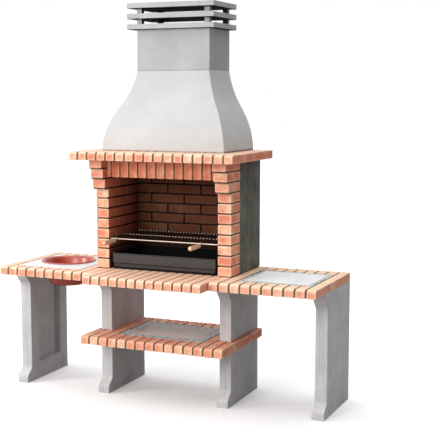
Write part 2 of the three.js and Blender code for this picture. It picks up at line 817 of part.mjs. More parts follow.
// Coal tray: a folded pan on two runners, with a set-back foot and a hemmed rim. Its z is 0 on the hearth.
function coalTray() {
  const panRing = (inset, z) => rectangleRing([-trayHalfWidth + inset, trayHalfWidth - inset],
    [-trayFront + inset, -trayBack - inset], z, trayCorner - inset, trayCornerSteps);
  const hemBase = trayTop - trayHemHeight;
  const outside = solid(loft([
    panRing(trayHemWidth + trayStepInset, runnerHeight),
    panRing(trayHemWidth + trayStepInset, trayStep),
    panRing(trayHemWidth, trayStep + trayStepInset),
    panRing(trayHemWidth, hemBase),
    panRing(0, hemBase + trayHemWidth),
    panRing(0, trayTop),
  ]));
  const inside = solid(loft([
    panRing(trayHemWidth + trayStepInset + traySheetThickness, runnerHeight + traySheetThickness),
    panRing(trayHemWidth + trayStepInset + traySheetThickness, trayStep),
    panRing(trayHemWidth + traySheetThickness, trayStep + trayStepInset),
    panRing(trayHemWidth + traySheetThickness, trayTop + overrun),
  ]));
  const runners = [-1, 1].map((side) => {
    const near = trayHalfWidth - runnerInset - runnerWidth;
    const x = sideSpan(side, near, near + runnerWidth);
    return block(x, [-trayFront + runnerWidth, -trayBack - runnerWidth], [bed, runnerHeight + weldSink]);
  });
  return join([cut(outside, inside), ...runners]);
}
place(fire, 'coal_tray', geometryOf(coalTray()), finishes.enamel);

// Grill: three cross rods whose ends ride in the raked joints, and bars welded over them. Local z is 0 on
// the axis of the rods, which lie in the middle of the joint under the chosen course.
const grillAxis = firstCourse + grillCourseCount * courseRise - courseJoint / 2;
const grill = level(worktopTop + grillAxis);
const firstBarX = -barPitch * (barCount - 1) / 2;
const barAxis = rodRadius + barRadius - weldSink;

function grillBar(x) {
  const section = (y, z) => Array.from({ length: rodFacets }, (_, i) => {
    const angle = fullTurn * (i + 0.5) / rodFacets;
    return new THREE.Vector3(x + barRadius * Math.cos(angle), y, z + barRadius * Math.sin(angle));
  });
  return solid(loft([
    section(-grillFront, 0),
    section(-grillFront + barDrop, barAxis),
    section(-grillBack + rodRadius, barAxis),
  ]));
}

function grillRack() {
  const half = firebox + rodEndInGroove;
  const rods = [grillFront, grillMiddle, grillBack].map((depth) => (
    crossRod(half, -depth, rodRadius, rodSides)));
  const bars = Array.from({ length: barCount }, (_, i) => grillBar(firstBarX + i * barPitch));
  return join([...rods, ...bars]);
}
place(grill, 'grill_rack', geometryOf(grillRack()), finishes.chrome);

// Handles: a bent stem over the front rod, a ferrule and a turned wooden grip. Local x is 0 on the stem.
const gripAxis = -gripDrop;

function handleStem() {
  const over = rodRadius + stemRadius + bed;
  const at = (depth, z) => new THREE.Vector3(0, -depth, z);
  const landing = grillFront + stemLanding;
  const path = new THREE.CurvePath();
  path.add(new THREE.LineCurve3(at(grillMiddle - rodRadius, over), at(grillFront, over)));
  path.add(new THREE.CubicBezierCurve3(at(grillFront, over), at(grillFront + stemLanding / 2, over),
    at(landing - stemLanding / 3, gripAxis), at(landing, gripAxis)));
  path.add(new THREE.LineCurve3(at(landing, gripAxis), at(gripBack + gripBore - stemRadius, gripAxis)));
  const section = new THREE.Shape().absarc(0, 0, stemRadius, 0, fullTurn);
  return solid(new THREE.ExtrudeGeometry(section, {
    steps: stemSteps, curveSegments: rodFacets / 2, extrudePath: path, bevelEnabled: false,
  }));
}

// Turned pieces of a handle point forward: their z becomes the distance in front of the grip's back end.
function forward(geometry) {
  geometry.rotateX(quarterTurn);
  return closed(geometry);
}

function gripGeometry() {
  const length = gripFront - gripBack;
  const bore = stemRadius + bed;
  const nose = gripRadius;
  return forward(turned([
    [bore, 0],
    [gripWaist, 0],
    [gripWaist, nose / 2],
    [gripRadius, length / 2],
    ...arc(0, length - nose, nose, 0, quarterTurn, 4),
    [0, gripBore],
    [bore, gripBore],
    [bore, 0],
  ], gripFacets));
}

function ferruleGeometry() {
  const bore = stemRadius + bed;
  const outer = gripWaist - ferruleWall / 2;
  return forward(turned([
    [bore, -ferruleLength],
    [outer - ferruleWall, -ferruleLength],
    [outer, -ferruleLength + ferruleWall],
    [outer, -bed],
    [bore, -bed],
    [bore, -ferruleLength],
  ], gripFacets));
}

for (const [name, bay] of [['left', leftStemBayCount], ['right', rightStemBayCount]]) {
  const x = firstBarX + (bay + 0.5) * barPitch;
  place(grill, `${name}_handle_stem`, geometryOf(handleStem()), finishes.chrome, x);
  place(grill, `${name}_handle_ferrule`, ferruleGeometry(), finishes.chrome, x, -gripBack, gripAxis);
  place(grill, `${name}_handle_grip`, gripGeometry(), finishes.wood, x, -gripBack, gripAxis);
}

export default barbecue;
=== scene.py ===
# %% [markdown]
# # An outdoor masonry barbecue
# A garden barbecue like this one is stacked from castings: concrete legs carry brick-faced slabs, two
# short brick walls and a back make the firebox, and a rendered hood gathers the smoke to the chimney.
# The frame that is loaded here already has every casting at its place and size. This lesson gives each
# one its real surface: separate bricks with rounded arrises in raked mortar, cast concrete, fine render,
# glazed clay, enamelled sheet, chromed rods and turned wood.

# %% The frame
import math
import random

import bmesh
import bpy
from mathutils import Matrix, Vector


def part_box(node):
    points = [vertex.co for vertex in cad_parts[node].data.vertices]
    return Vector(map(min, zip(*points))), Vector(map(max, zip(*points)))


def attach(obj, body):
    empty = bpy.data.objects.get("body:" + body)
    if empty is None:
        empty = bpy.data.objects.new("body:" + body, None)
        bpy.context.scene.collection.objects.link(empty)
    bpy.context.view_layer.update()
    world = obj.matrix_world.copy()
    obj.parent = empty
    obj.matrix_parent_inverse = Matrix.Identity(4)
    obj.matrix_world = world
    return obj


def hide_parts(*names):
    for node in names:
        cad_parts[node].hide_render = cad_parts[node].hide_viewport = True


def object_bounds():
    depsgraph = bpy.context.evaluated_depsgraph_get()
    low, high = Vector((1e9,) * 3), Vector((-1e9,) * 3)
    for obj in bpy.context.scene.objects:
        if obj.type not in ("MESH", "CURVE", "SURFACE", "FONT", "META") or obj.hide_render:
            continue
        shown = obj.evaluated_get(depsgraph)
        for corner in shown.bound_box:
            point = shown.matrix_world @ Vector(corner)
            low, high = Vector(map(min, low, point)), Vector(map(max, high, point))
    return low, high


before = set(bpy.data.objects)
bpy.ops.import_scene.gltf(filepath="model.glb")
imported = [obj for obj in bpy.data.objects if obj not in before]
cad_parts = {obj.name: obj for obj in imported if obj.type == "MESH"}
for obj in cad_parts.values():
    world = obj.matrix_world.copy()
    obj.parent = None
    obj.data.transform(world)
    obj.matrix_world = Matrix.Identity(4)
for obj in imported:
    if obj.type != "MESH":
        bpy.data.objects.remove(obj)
frame_low, frame_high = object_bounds()
MM = 0.001
print("the whole object:", [round(v, 3) for v in frame_high - frame_low], "m")

# %% [markdown]
# Everything stands against one flat plane at the back, as it does against a garden wall. Depths are
# therefore measured forward from that plane, in millimetres, and one function turns a depth into Y.

# %% Depths
def ahead(depth):
    """The Y of a point that lies depth millimetres in front of the back plane."""
    return frame_high.y - depth * MM


hearth_front = 722
print("the front of the hearth is at y =", round(ahead(hearth_front), 3))

# %% [markdown]
# ## Finishes
# A colour seen on screen is an sRGB value, and the shaders work in linear light, so one function turns
# the one into the other. Another adds a node with its settings, its sockets and its colour stops, which
# keeps each finish readable as a list of layers.

# %% Colour
def linear(code):
    """An sRGB hex colour as linear red, green, blue and alpha."""
    parts = [int(code[i:i + 2], 16) / 255 for i in (1, 3, 5)]
    return [c / 12.92 if c <= 0.04045 else ((c + 0.055) / 1.055) ** 2.4 for c in parts] + [1.0]


print("salmon in linear light:", [round(c, 3) for c in linear("#e08a63")[:3]])

# %% Nodes
def set_inputs(node, inputs):
    """Links what comes from another node, by its first live output, and sets any other value."""
    for key, value in inputs.items():
        if isinstance(value, bpy.types.Node):
            value = next(socket for socket in value.outputs if socket.enabled)
        if isinstance(value, bpy.types.NodeSocket):
            node.id_data.links.new(value, node.inputs[key])
        else:
            node.inputs[key].default_value = value


def add_node(tree, kind, inputs=None, stops=(), **settings):
    """A new node with its settings, its inputs and, on a ramp, its colour stops."""
    node = tree.nodes.new("ShaderNode" + kind)
    for key, value in settings.items():
        setattr(node, key, value)
    set_inputs(node, inputs or {})
    for i, (place, colour) in enumerate(stops):
        ramp = node.color_ramp.elements
        stop = ramp[i] if i < 2 else ramp.new(place)
        stop.position = place
        stop.color = linear(colour)
    return node


def new_finish(name):
    """A material with its node tree and its shader."""
    material = bpy.data.materials.new(name)
    material.use_nodes = True
    return material, material.node_tree, material.node_tree.nodes["Principled BSDF"]


MIXED = {"data_type": "RGBA"}
MULTIPLIED = {"data_type": "RGBA", "blend_type": "MULTIPLY"}
print("two ways to lay a colour over another:", MIXED, MULTIPLIED)

# %% [markdown]
# Three things come back in most finishes. A texture lies on the object's own coordinates, stretched
# where the real marks run one way. Soft clouds and finer marks together pick a colour between a few
# tones. And a relief is made of bumps laid over each other, each with a height in millimetres.

# %% Patterns, tones and reliefs
def pattern(tree, kind="TexNoise", stretch=None, turn=(0, 0, 0), **inputs):
    """A texture that lies still on the object, stretched and turned if need be."""
    place = add_node(tree, "TexCoord").outputs["Object"]
    if stretch:
        place = add_node(tree, "Mapping", {"Vector": place, "Scale": stretch, "Rotation": turn})
    return add_node(tree, kind, {"Vector": place, **inputs})


def toned(tree, clouds, marks, share, stops):
    """A colour picked by soft clouds, in which finer marks have a share."""
    blended = add_node(tree, "Mix", {0: share, 2: clouds, 3: marks})
    return add_node(tree, "ValToRGB", {"Fac": blended}, stops)


def stacked_relief(tree, *layers):
    """A normal from layers of height, strength and depth in millimetres. A negative depth is a hollow."""
    relief = None
    for height, strength, depth in layers:
        under = {"Normal": relief} if relief else {}
        relief = add_node(tree, "Bump", {"Height": height, "Strength": strength,
                                         "Distance": abs(depth) * MM, **under}, invert=depth < 0)
    return relief


print("a pattern with a scale of 13 drifts over", round(1000 / 13), "mm")

# %% [markdown]
# ### Flamed facing brick
# The bricks are cast slips of fired clay with a flamed face: salmon pink that drifts to buff over about
# a hand's width, differently on every brick. The arrises are paler, partly rubbed and partly a painted
# highlight where light catches the round, and the face is finely sandy.
# The pattern could run in one piece over the wall, but then neighbours would match. Each brick carries
# its own centre, half size and a random tone instead, so that it reads a patch of the pattern of its own,
# and the distance to its nearest arris comes out exactly. The clay leans to buff towards each brick's
# front right corner and a little towards its top, where the lean is a painted highlight on the rounded
# nose. Faces to the side are painted darker and redder as shade.

# %% Brick: the flamed colour
def flamed_clay(tree, lean):
    """The place on a brick's own patch of the pattern, and the clay's colour there, buff to one side, with a
    painted highlight to the top and painted shade on faces to the side.
    """
    local = add_node(tree, "Attribute", attribute_name="brick_local").outputs["Vector"]
    half = add_node(tree, "Attribute", attribute_name="brick_half").outputs["Vector"]
    tone = add_node(tree, "Attribute", attribute_name="brick_tone").outputs["Fac"]
    shift = add_node(tree, "VectorMath", {0: (61, 17, 43), "Scale": tone}, operation="SCALE")
    own = add_node(tree, "VectorMath", {0: local, 1: shift})
    mood = add_node(tree, "MapRange", {"Value": tone, "To Min": -0.16, "To Max": -0.02})
    share = add_node(tree, "VectorMath", {0: local, 1: half}, operation="DIVIDE")
    # Painted light: the lean's share along Z makes the top of a brick paler as a highlight, and the term for
    # faces to the side paints them darker and redder as shade.
    corner = add_node(tree, "VectorMath", {0: share, 1: lean}, operation="DOT_PRODUCT")
    facing = add_node(tree, "NewGeometry").outputs["Normal"]
    facing = add_node(tree, "VectorMath", {0: facing}, operation="ABSOLUTE")
    side_shade = add_node(tree, "VectorMath", {0: facing, 1: (-0.1, 0, 0)}, operation="DOT_PRODUCT")
    flamed = add_node(tree, "TexNoise", {"Vector": own, "Scale": 13, "Distortion": 0.4})
    for change in (mood, corner, side_shade):
        flamed = add_node(tree, "Math", {0: flamed, 1: change})
    clay = add_node(tree, "ValToRGB", {"Fac": flamed}, [
        (0.30, "#dd7f5c"), (0.43, "#e8906f"), (0.54, "#eda380"), (0.64, "#f2ba94"), (0.76, "#f6d3b2")])
    grit = add_node(tree, "TexNoise", {"Vector": own, "Scale": 240})
    sandy = add_node(tree, "ValToRGB", {"Fac": grit}, [(0.32, "#ddd5cf"), (0.5, "#ffffff")])
    return own, add_node(tree, "Mix", {0: 1.0, 6: clay, 7: sandy}, **MULTIPLIED)


print("the tone moves the flame by up to 0.14")

# %% [markdown]
# The distance from a point to the nearest arris is the second smallest of its distances to the faces.
# Three minima and maxima find it, and a patchy noise keeps the paler arris from looking drawn with a ruler.
# It is partly rubbing and partly a painted highlight.

# %% Brick: arrises paler by rubbing and by painted highlight
def pale_arris_wear_and_highlight(tree, own, colour, arris_colour, most):
    """The colour with its arrises paler towards another one, by most at the very edge, partly as rubbing and
    partly as a painted highlight.
    """
    local = add_node(tree, "Attribute", attribute_name="brick_local").outputs["Vector"]
    half = add_node(tree, "Attribute", attribute_name="brick_half").outputs["Vector"]
    room = add_node(tree, "VectorMath", {0: local}, operation="ABSOLUTE")
    room = add_node(tree, "VectorMath", {0: half, 1: room}, operation="SUBTRACT")
    x, y, z = add_node(tree, "SeparateXYZ", {0: room}).outputs
    near = add_node(tree, "Math", {0: x, 1: y}, operation="MINIMUM")
    far = add_node(tree, "Math", {0: x, 1: y}, operation="MAXIMUM")
    other = add_node(tree, "Math", {0: far, 1: z}, operation="MINIMUM")
    arris = add_node(tree, "Math", {0: near, 1: other}, operation="MAXIMUM")
    rub_and_light = add_node(tree, "MapRange", {"Value": arris, "From Min": 1 * MM, "From Max": 12 * MM,
                                      "To Min": most, "To Max": 0.0}, interpolation_type="SMOOTHSTEP")
    patch = add_node(tree, "TexNoise", {"Vector": own, "Scale": 30})
    patch = add_node(tree, "MapRange", {"Value": patch, "From Min": 0.25, "From Max": 0.7, "To Min": 0.3})
    rub_and_light = add_node(tree, "Math", {0: rub_and_light, 1: patch}, operation="MULTIPLY")
    return add_node(tree, "Mix", {0: rub_and_light, 6: colour, 7: linear(arris_colour)}, **MIXED)


# The paler band is rubbing and painted highlight together.
print("an arris is rubbed 12 mm wide")

# %% [markdown]
# The face of a brick is finely sandy. It could be sculpted, but at this size a relief in the finish does:
# shallow waves, sand grains that are drawn 4 mm apart so that they show, and small pits between them.

# %% Brick: the sandy face
def sandy_relief(tree, own):
    """A normal with shallow waves, sand grains and small pits."""
    waves = add_node(tree, "TexNoise", {"Vector": own, "Scale": 45})
    grit = add_node(tree, "TexNoise", {"Vector": own, "Scale": 240})
    pits = add_node(tree, "TexVoronoi", {"Vector": own, "Scale": 150}).outputs["Distance"]
    pits = add_node(tree, "MapRange", {"Value": pits, "From Max": 0.35})
    return stacked_relief(tree, (waves, 0.5, 2.5), (grit, 0.5, 0.7), (pits, 0.3, 0.8))


# The last number of the lean paints a highlight on the top of each brick.
def brick_finish(name, weathered, arris_colour, most, roughness, specular, lean=(0.06, -0.1, 0.03)):
    """Brick of flamed clay, whose colour one function changes."""
    finish, tree, surface = new_finish(name)
    own, clay = flamed_clay(tree, lean)
    colour = pale_arris_wear_and_highlight(tree, own, weathered(tree, clay), arris_colour, most)
    set_inputs(surface, {"Base Color": colour, "Normal": sandy_relief(tree, own), "Roughness": roughness,
                         "Specular IOR Level": specular})
    return finish


print("grains are drawn", round(1000 / 240), "mm apart")

# %% [markdown]
# The same clay makes six finishes. Outside, the face is clean, and what looks up is painted paler as
# light from above: most on the hearth, which is also painted a little paler all over, as is the right
# worktop, and hardly on the shelf, which lies in shade. Inside the firebox the clay is painted darker as
# shade, least at the front edge and most at the back and low down, where Object coordinates tell how
# deep and how high a point lies. On the lintel, under the mantel, the clay is painted a little darker
# and redder as shade, and its arrises are hardly rubbed.

# %% The brick finishes
column_front, back_face = 442, 63


def own_place(tree, axis):
    """How far a point lies along X, Y or Z in the object's own coordinates."""
    place = add_node(tree, "TexCoord").outputs["Object"]
    return add_node(tree, "SeparateXYZ", {0: place}).outputs[axis]


def painted_light_brick_finish(name, top_light_share, to="#fddcbf", all_over_light_share=0):
    """Brick with painted light: what looks up is painted paler by one share, and the rest by another."""
    def lit_up_tops(tree, clay):
        up = add_node(tree, "NewGeometry").outputs["Normal"]
        up = add_node(tree, "SeparateXYZ", {0: up}).outputs["Z"]
        share = add_node(tree, "MapRange", {"Value": up, "From Min": 0.1, "From Max": 0.9,
                                            "To Min": all_over_light_share, "To Max": top_light_share})
        return add_node(tree, "Mix", {0: share, 6: clay, 7: linear(to)}, **MIXED)
    return brick_finish(name, lit_up_tops, "#fce8d4", 0.5, 0.62, 0.5)


def painted_firebox_shade(tree, clay):
    """Clay in painted shade, darker with depth into the firebox, and darkest low down."""
    deep = add_node(tree, "MapRange", {"Value": own_place(tree, "Y"), "From Min": ahead(column_front),
                                       "From Max": ahead(back_face)})
    # Painted shade: the clay darkens with depth into the firebox.
    smoke = toned(tree, deep, pattern(tree, Scale=9, Detail=4), 0.18, [
        (0.1, "#f2d8d3"), (0.45, "#ccb8b3"), (0.75, "#a08f87"), (0.9, "#786c64")])
    even = add_node(tree, "Mix", {0: 0.55, 6: clay, 7: linear("#dd9c76")}, **MIXED)
    clay_in_shade = add_node(tree, "Mix", {0: 1.0, 6: even, 7: smoke}, **MULTIPLIED)
    # Painted shade: darker still low down, near the hearth.
    high = add_node(tree, "MapRange", {"Value": own_place(tree, "Z"), "From Min": 0.8, "From Max": 0.98,
                                       "To Min": 0.16}, interpolation_type="SMOOTHSTEP")
    return add_node(tree, "Mix", {0: 1.0, 6: clay_in_shade, 7: high}, **MULTIPLIED)


def painted_lintel_shade(tree, clay):
    """Clay painted a little darker and redder, as the shade under the mantel."""
    return add_node(tree, "Mix", {0: 1.0, 6: clay, 7: linear("#eee2dd")}, **MULTIPLIED)


# Painted light: tops are painted paler, and the hearth and right worktop paler all over; the shaded shelf
# gets hardly any.
facing_brick = painted_light_brick_finish("flamed_brick_painted_top_light", 0.68)
shelf_brick = painted_light_brick_finish("flamed_brick_faint_painted_top_light", 0.1)
hearth_brick = painted_light_brick_finish("flamed_brick_strongest_painted_light", 0.92, "#ffd2b4", 0.13)
strong_light_brick = painted_light_brick_finish("flamed_brick_strong_painted_light", 0.75, "#fbdfbd", 0.17)
firebox_brick = brick_finish("firebrick_painted_shade", painted_firebox_shade, "#9a7a68", 0.12, 0.88, 0.25)
# Painted shade: the lintel under the mantel is darker and redder, and its arrises are hardly paler.
lintel_brick = brick_finish("soldier_brick_painted_shade", painted_lintel_shade, "#e9b79c", 0.25, 0.75, 0.35,
                            (0.13, -0.1, 0))
print(len(bpy.data.materials), "materials so far")

# %% [markdown]
# ### Raked mortar
# The joints are cement mortar, raked back about 4 mm, tinted olive brown by the sand in it. Its grains
# are 1 to 2 mm, drawn here at 3 mm so that they show. Inside the firebox the joints are painted nearly
# black as shade.

# %% Mortar
def mortar_finish(name, dark, middle, light):
    """Raked mortar between three tones."""
    finish, tree, surface = new_finish(name)
    grains = pattern(tree, Scale=330)
    colour = toned(tree, pattern(tree, Scale=14, Detail=3), grains, 0.35, [
        (0.3, dark), (0.52, middle), (0.72, light)])
    set_inputs(surface, {"Base Color": colour, "Normal": stacked_relief(tree, (grains, 0.8, 1.2)),
                         "Roughness": 0.95, "Specular IOR Level": 0.2})
    return finish


mortar = mortar_finish("raked_cement_mortar", "#5b432e", "#745a3e", "#8e7352")
# Painted shade: a nearly black copy of the mortar for the joints inside the firebox.
shaded_mortar = mortar_finish("mortar_black_as_painted_shade", "#140b07", "#1e120b", "#2b1b12")
print("two mortars")

# %% [markdown]
# ### Cast concrete
# The legs are cast flat in steel moulds, so they are smooth, with faint upright streaks where the release
# oil ran, soft clouds of lighter cement and a scatter of air holes 2 to 4 mm wide, which are painted
# darker as the shade in them. The streaks are a noise stretched along Z, and the holes are Voronoi cells
# of which only a few are let through. On the draft of a sunk panel that looks to the front, the same
# concrete is painted darker as shade.

# %% Concrete of the legs
def cast_concrete(name, dark, middle, light):
    """Concrete cast smooth, between three tones."""
    finish, tree, surface = new_finish(name)
    streaks = pattern(tree, stretch=(105, 105, 2.2), Scale=1, Detail=4)
    colour = toned(tree, pattern(tree, Scale=7, Detail=5, Roughness=0.6), streaks, 0.45, [
        (0.32, dark), (0.5, middle), (0.68, light)])
    cells = pattern(tree, "TexVoronoi", Scale=55)
    chosen = add_node(tree, "SeparateColor", {0: cells.outputs["Color"]})
    chosen = add_node(tree, "Math", {0: chosen, 1: 0.86}, operation="GREATER_THAN")
    hole = add_node(tree, "MapRange", {"Value": cells.outputs["Distance"], "From Min": 0.07,
                                       "From Max": 0.12, "To Min": 1.0, "To Max": 0.0})
    hole = add_node(tree, "Math", {0: hole, 1: chosen}, operation="MULTIPLY")
    # Painted shade: the air holes are coloured darker.
    holes_in_painted_shade = add_node(tree, "Mix", {0: hole, 6: colour, 7: linear("#7d7975")}, **MIXED)
    relief = stacked_relief(tree, (pattern(tree, Scale=300, Detail=3), 0.35, 0.6), (hole, 0.8, -1.5))
    set_inputs(surface, {"Base Color": holes_in_painted_shade, "Normal": relief, "Roughness": 0.8,
                         "Specular IOR Level": 0.35})
    return finish


leg_concrete = cast_concrete("smooth_cast_concrete", "#b1b0af", "#c3c2c2", "#d3d2d2")
# Painted shade: a darker copy of the concrete for the draft of the sunk panel.
concrete_in_painted_shade = cast_concrete("cast_concrete_painted_shade", "#8a8887", "#979594", "#a3a1a0")
print("two casts of smooth concrete")

# %% [markdown]
# ### Dark refractory concrete
# The plain outer leaves of the firebox are cast in a dark grey-green concrete with crushed hard stone in
# it. It is blotchy, streaked from top to bottom, and quite matt.

# %% Dark concrete
dark_concrete, tree, surface = new_finish("dark_refractory_concrete")
streaks = pattern(tree, stretch=(22, 22, 8), Scale=1, Detail=5, Roughness=0.62)
colour = toned(tree, pattern(tree, Scale=9, Detail=4), streaks, 0.55, [
    (0.34, "#4f4f47"), (0.5, "#64655b"), (0.68, "#7d7e72")])
relief = stacked_relief(tree, (pattern(tree, Scale=220, Detail=3), 0.5, 0.9), (streaks, 0.3, 2))
set_inputs(surface, {"Base Color": colour, "Normal": relief, "Roughness": 0.9,
                     "Specular IOR Level": 0.25})
print("dark_refractory_concrete:", len(tree.nodes), "nodes")

# %% [markdown]
# ### Fine render
# Hood, chimney and cap are cast in light cement and finished with a pale, steel-trowelled render. What
# the eye gets is a nearly even off-white with very soft clouds, faint trowel marks and a fine grain. The
# mix is greyer on the chimney, and the flat cheeks of the hood are painted a little whiter as the light
# that falls on them. The cap is left as it came from the mould, with grains of about 3 mm, lighter and
# darker. It is sooted where smoke goes and under its plates, partly real soot and partly painted shade.

# %% Render of the hood and chimney
def render_finish(name, dark, middle, light, granular=False):
    """Trowelled render between three tones, or the grain of a concrete cast without a finish."""
    finish, tree, surface = new_finish(name)
    trowel = pattern(tree, stretch=(12, 12, 16), turn=(0.3, 0.25, 0), Scale=1, Detail=4, Distortion=0.4)
    colour = toned(tree, pattern(tree, Scale=5, Detail=4), trowel, 0.3, [
        (0.34, dark), (0.5, middle), (0.68, light)])
    if granular:
        grains = pattern(tree, Scale=210, Detail=3, Roughness=0.7)
        grains = add_node(tree, "MapRange", {"Value": grains, "From Min": 0.3, "From Max": 0.7,
                                             "To Min": 0.6, "To Max": 1.15})
        colour = add_node(tree, "Mix", {0: 1.0, 6: colour, 7: grains}, **MULTIPLIED)
    relief = stacked_relief(tree, (pattern(tree, Scale=420), 0.25, 0.5), (trowel, 0.12, 2))
    set_inputs(surface, {"Base Color": colour, "Normal": relief, "Roughness": 0.75,
                         "Specular IOR Level": 0.35})
    return finish


pale_render = render_finish("trowelled_pale_render", "#c0c0c0", "#c5c5c5", "#cacaca")
# Painted light: a whiter copy of the render for the side faces of the hood.
side_lit_render = render_finish("render_with_painted_side_light", "#d0d0d0", "#d5d5d5", "#dadada")
grey_render = render_finish("trowelled_grey_render", "#a9a8a9", "#b3b2b3", "#bdbdbd")
cap_concrete = render_finish("granular_cap_concrete", "#b6b5b6", "#bfbfbf", "#c8c8c8", True)
# Soot and painted shade: a nearly black copy of the cap concrete for the flue and the undersides.
soot_and_shade_concrete = render_finish("cap_concrete_soot_and_painted_shade", "#1b1a19", "#262423", "#353230", True)
print("five renders")

# %% [markdown]
# ### Honed stone and stone mosaic
# The inset boards are honed agglomerate: a pale blue-grey ground with grains of 2 to 5 mm in grey and
# white. On the shelf the board is a darker warm grey, painted as the shade under the hearth, and painted
# paler towards its front as light that reaches in. Round two of them runs a band of small split stones.
# Every stone has a tone of its own, which picks one of a few greys and sea greens.

# %% Stone boards
def honed_board(name, tones, paler=None):
    """Honed agglomerate with grains between four tones, changed by one function."""
    finish, tree, surface = new_finish(name)
    grains = pattern(tree, "TexVoronoi", Scale=260)
    grey = add_node(tree, "SeparateColor", {0: grains.outputs["Color"]})
    colour = toned(tree, pattern(tree, Scale=8, Detail=4), grey, 0.4,
                   list(zip((0.22, 0.4, 0.6, 0.8), tones)))
    relief = stacked_relief(tree, (grains.outputs["Distance"], 0.15, 0.3))
    set_inputs(surface, {"Base Color": paler(tree, colour) if paler else colour, "Normal": relief,
                         "Roughness": 0.42})
    return finish


def painted_front_light(tree, colour):
    """The colour with painted light, half as light again at the front of the shelf's board."""
    # Painted light that reaches in under the hearth, strongest at the front.
    used = add_node(tree, "MapRange", {"Value": own_place(tree, "Y"), "From Min": ahead(420),
                                       "From Max": ahead(230), "To Min": 1.55, "To Max": 0.96},
                    interpolation_type="SMOOTHSTEP")
    return add_node(tree, "Mix", {0: 1.0, 6: colour, 7: used}, **MULTIPLIED)


stone_board = honed_board("honed_agglomerate_stone", ("#cdcfd2", "#e0e1e4", "#ecedef", "#f4f4f4"))
# Painted shade: the shelf's board is a darker, warmer copy of the stone, as it lies under the hearth.
shelf_board = honed_board("agglomerate_stone_painted_shade", ("#86796f", "#9c8e85", "#a99c94", "#bbaea8"),
                          painted_front_light)
print("two stone boards")

# %% Mosaic stones and their grout
mosaic_stone, tree, surface = new_finish("split_mosaic_stone")
tone = add_node(tree, "Attribute", attribute_name="brick_tone").outputs["Fac"]
colour = add_node(tree, "ValToRGB", {"Fac": tone}, [
    (0.0, "#adb9bc"), (0.2, "#90a2a7"), (0.42, "#c6cfcf"), (0.6, "#a4b4b7"), (0.78, "#d8dddb"),
    (0.92, "#7d9096")])
colour.color_ramp.interpolation = "CONSTANT"
veins = pattern(tree, Scale=160, Detail=3)
veins = add_node(tree, "MapRange", {"Value": veins, "To Min": 0.75, "To Max": 1.15})
shaded = add_node(tree, "Mix", {0: 1.0, 6: colour, 7: veins}, **MULTIPLIED)
set_inputs(surface, {"Base Color": shaded, "Normal": stacked_relief(tree, (veins, 0.4, 0.6)),
                     "Roughness": 0.5})

grout, tree, surface = new_finish("pale_grey_grout")
colour = add_node(tree, "ValToRGB", {"Fac": pattern(tree, Scale=380)}, [
    (0.35, "#a8ada8"), (0.65, "#c3c7c1")])
set_inputs(surface, {"Base Color": colour, "Roughness": 0.9})
print("mosaic and grout")

# %% [markdown]
# ### Glazed terracotta
# The sink is thrown red clay under a clear gloss glaze. The clay colour shows through with soft clouds,
# and the glaze is a thin smooth coat over it, so the shader has a coat and the colour beneath stays matt.

# %% Glazed terracotta
glazed_clay, tree, surface = new_finish("glazed_terracotta")
colour = add_node(tree, "ValToRGB", {"Fac": pattern(tree, Scale=11, Detail=4)}, [
    (0.3, "#9a3423"), (0.5, "#ab3e2a"), (0.7, "#b84c35")])
ripple = stacked_relief(tree, (pattern(tree, Scale=28, Detail=1), 0.12, 1))
set_inputs(surface, {"Base Color": colour, "Normal": ripple, "Coat Normal": ripple, "Roughness": 0.35,
                     "Coat Weight": 0.45, "Coat Roughness": 0.24})
print("glazed_terracotta:", len(tree.nodes), "nodes")

# %% [markdown]
# ### Enamelled sheet, soot, chromed steel and varnished wood
# The coal tray is folded sheet with a dark grey stoved enamel, a little uneven like orange peel. Below
# the fold, where its foot is set back, it is painted darker as shade. Its inside and the faces that look
# down under the fold are matt black, partly burnt and partly painted shade. The grill is drawn wire under
# bright chrome, dark brown on the bars, on the rods over the coals and on the rod ends, partly the tint
# the fire gives it and partly painted shade. The grips are turned beech with a clear varnish: the grain
# runs along the grip, so the noise is stretched along Y.

# %% Enamel and soot
tray_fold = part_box("hearth_slab")[1].z + 36 * MM
enamel, tree, surface = new_finish("dark_stoved_enamel")
colour = add_node(tree, "ValToRGB", {"Fac": pattern(tree, Scale=8, Detail=4)}, [
    (0.3, "#2e2b2a"), (0.7, "#393534")])
# Painted shade: the foot below the fold is darker.
foot_shade = add_node(tree, "MapRange", {"Value": own_place(tree, "Z"), "From Min": tray_fold - 2 * MM,
                                     "From Max": tray_fold + 2 * MM, "To Min": 0.6})
colour = add_node(tree, "Mix", {0: 1.0, 6: colour, 7: foot_shade}, **MULTIPLIED)
peel = stacked_relief(tree, (pattern(tree, Scale=190, Detail=1), 0.15, 0.4))
set_inputs(surface, {"Base Color": colour, "Normal": peel, "Roughness": 0.5})

# Soot and painted shade: a near-black sheet for the inside of the tray and the dark under it.
tray_soot_and_shade, tree, surface = new_finish("black_sheet_soot_and_painted_shade")
flakes = pattern(tree, Scale=30, Detail=5)
colour = add_node(tree, "ValToRGB", {"Fac": flakes}, [(0.35, "#060505"), (0.7, "#100e0d")])
set_inputs(surface, {"Base Color": colour, "Normal": stacked_relief(tree, (flakes, 0.5, 1)),
                     "Roughness": 0.85, "Specular IOR Level": 0.2})
print("enamel and soot are ready")

# %% Chrome, smoked chrome and varnished beech
chrome, tree, surface = new_finish("bright_chromed_wire")
drawn = pattern(tree, Scale=320)
tint = add_node(tree, "ValToRGB", {"Fac": drawn}, [(0.3, "#bfb4ac"), (0.7, "#d8cdc5")])
dull = add_node(tree, "MapRange", {"Value": drawn, "To Min": 0.25, "To Max": 0.45})
set_inputs(surface, {"Base Color": tint, "Roughness": dull, "Metallic": 1.0})

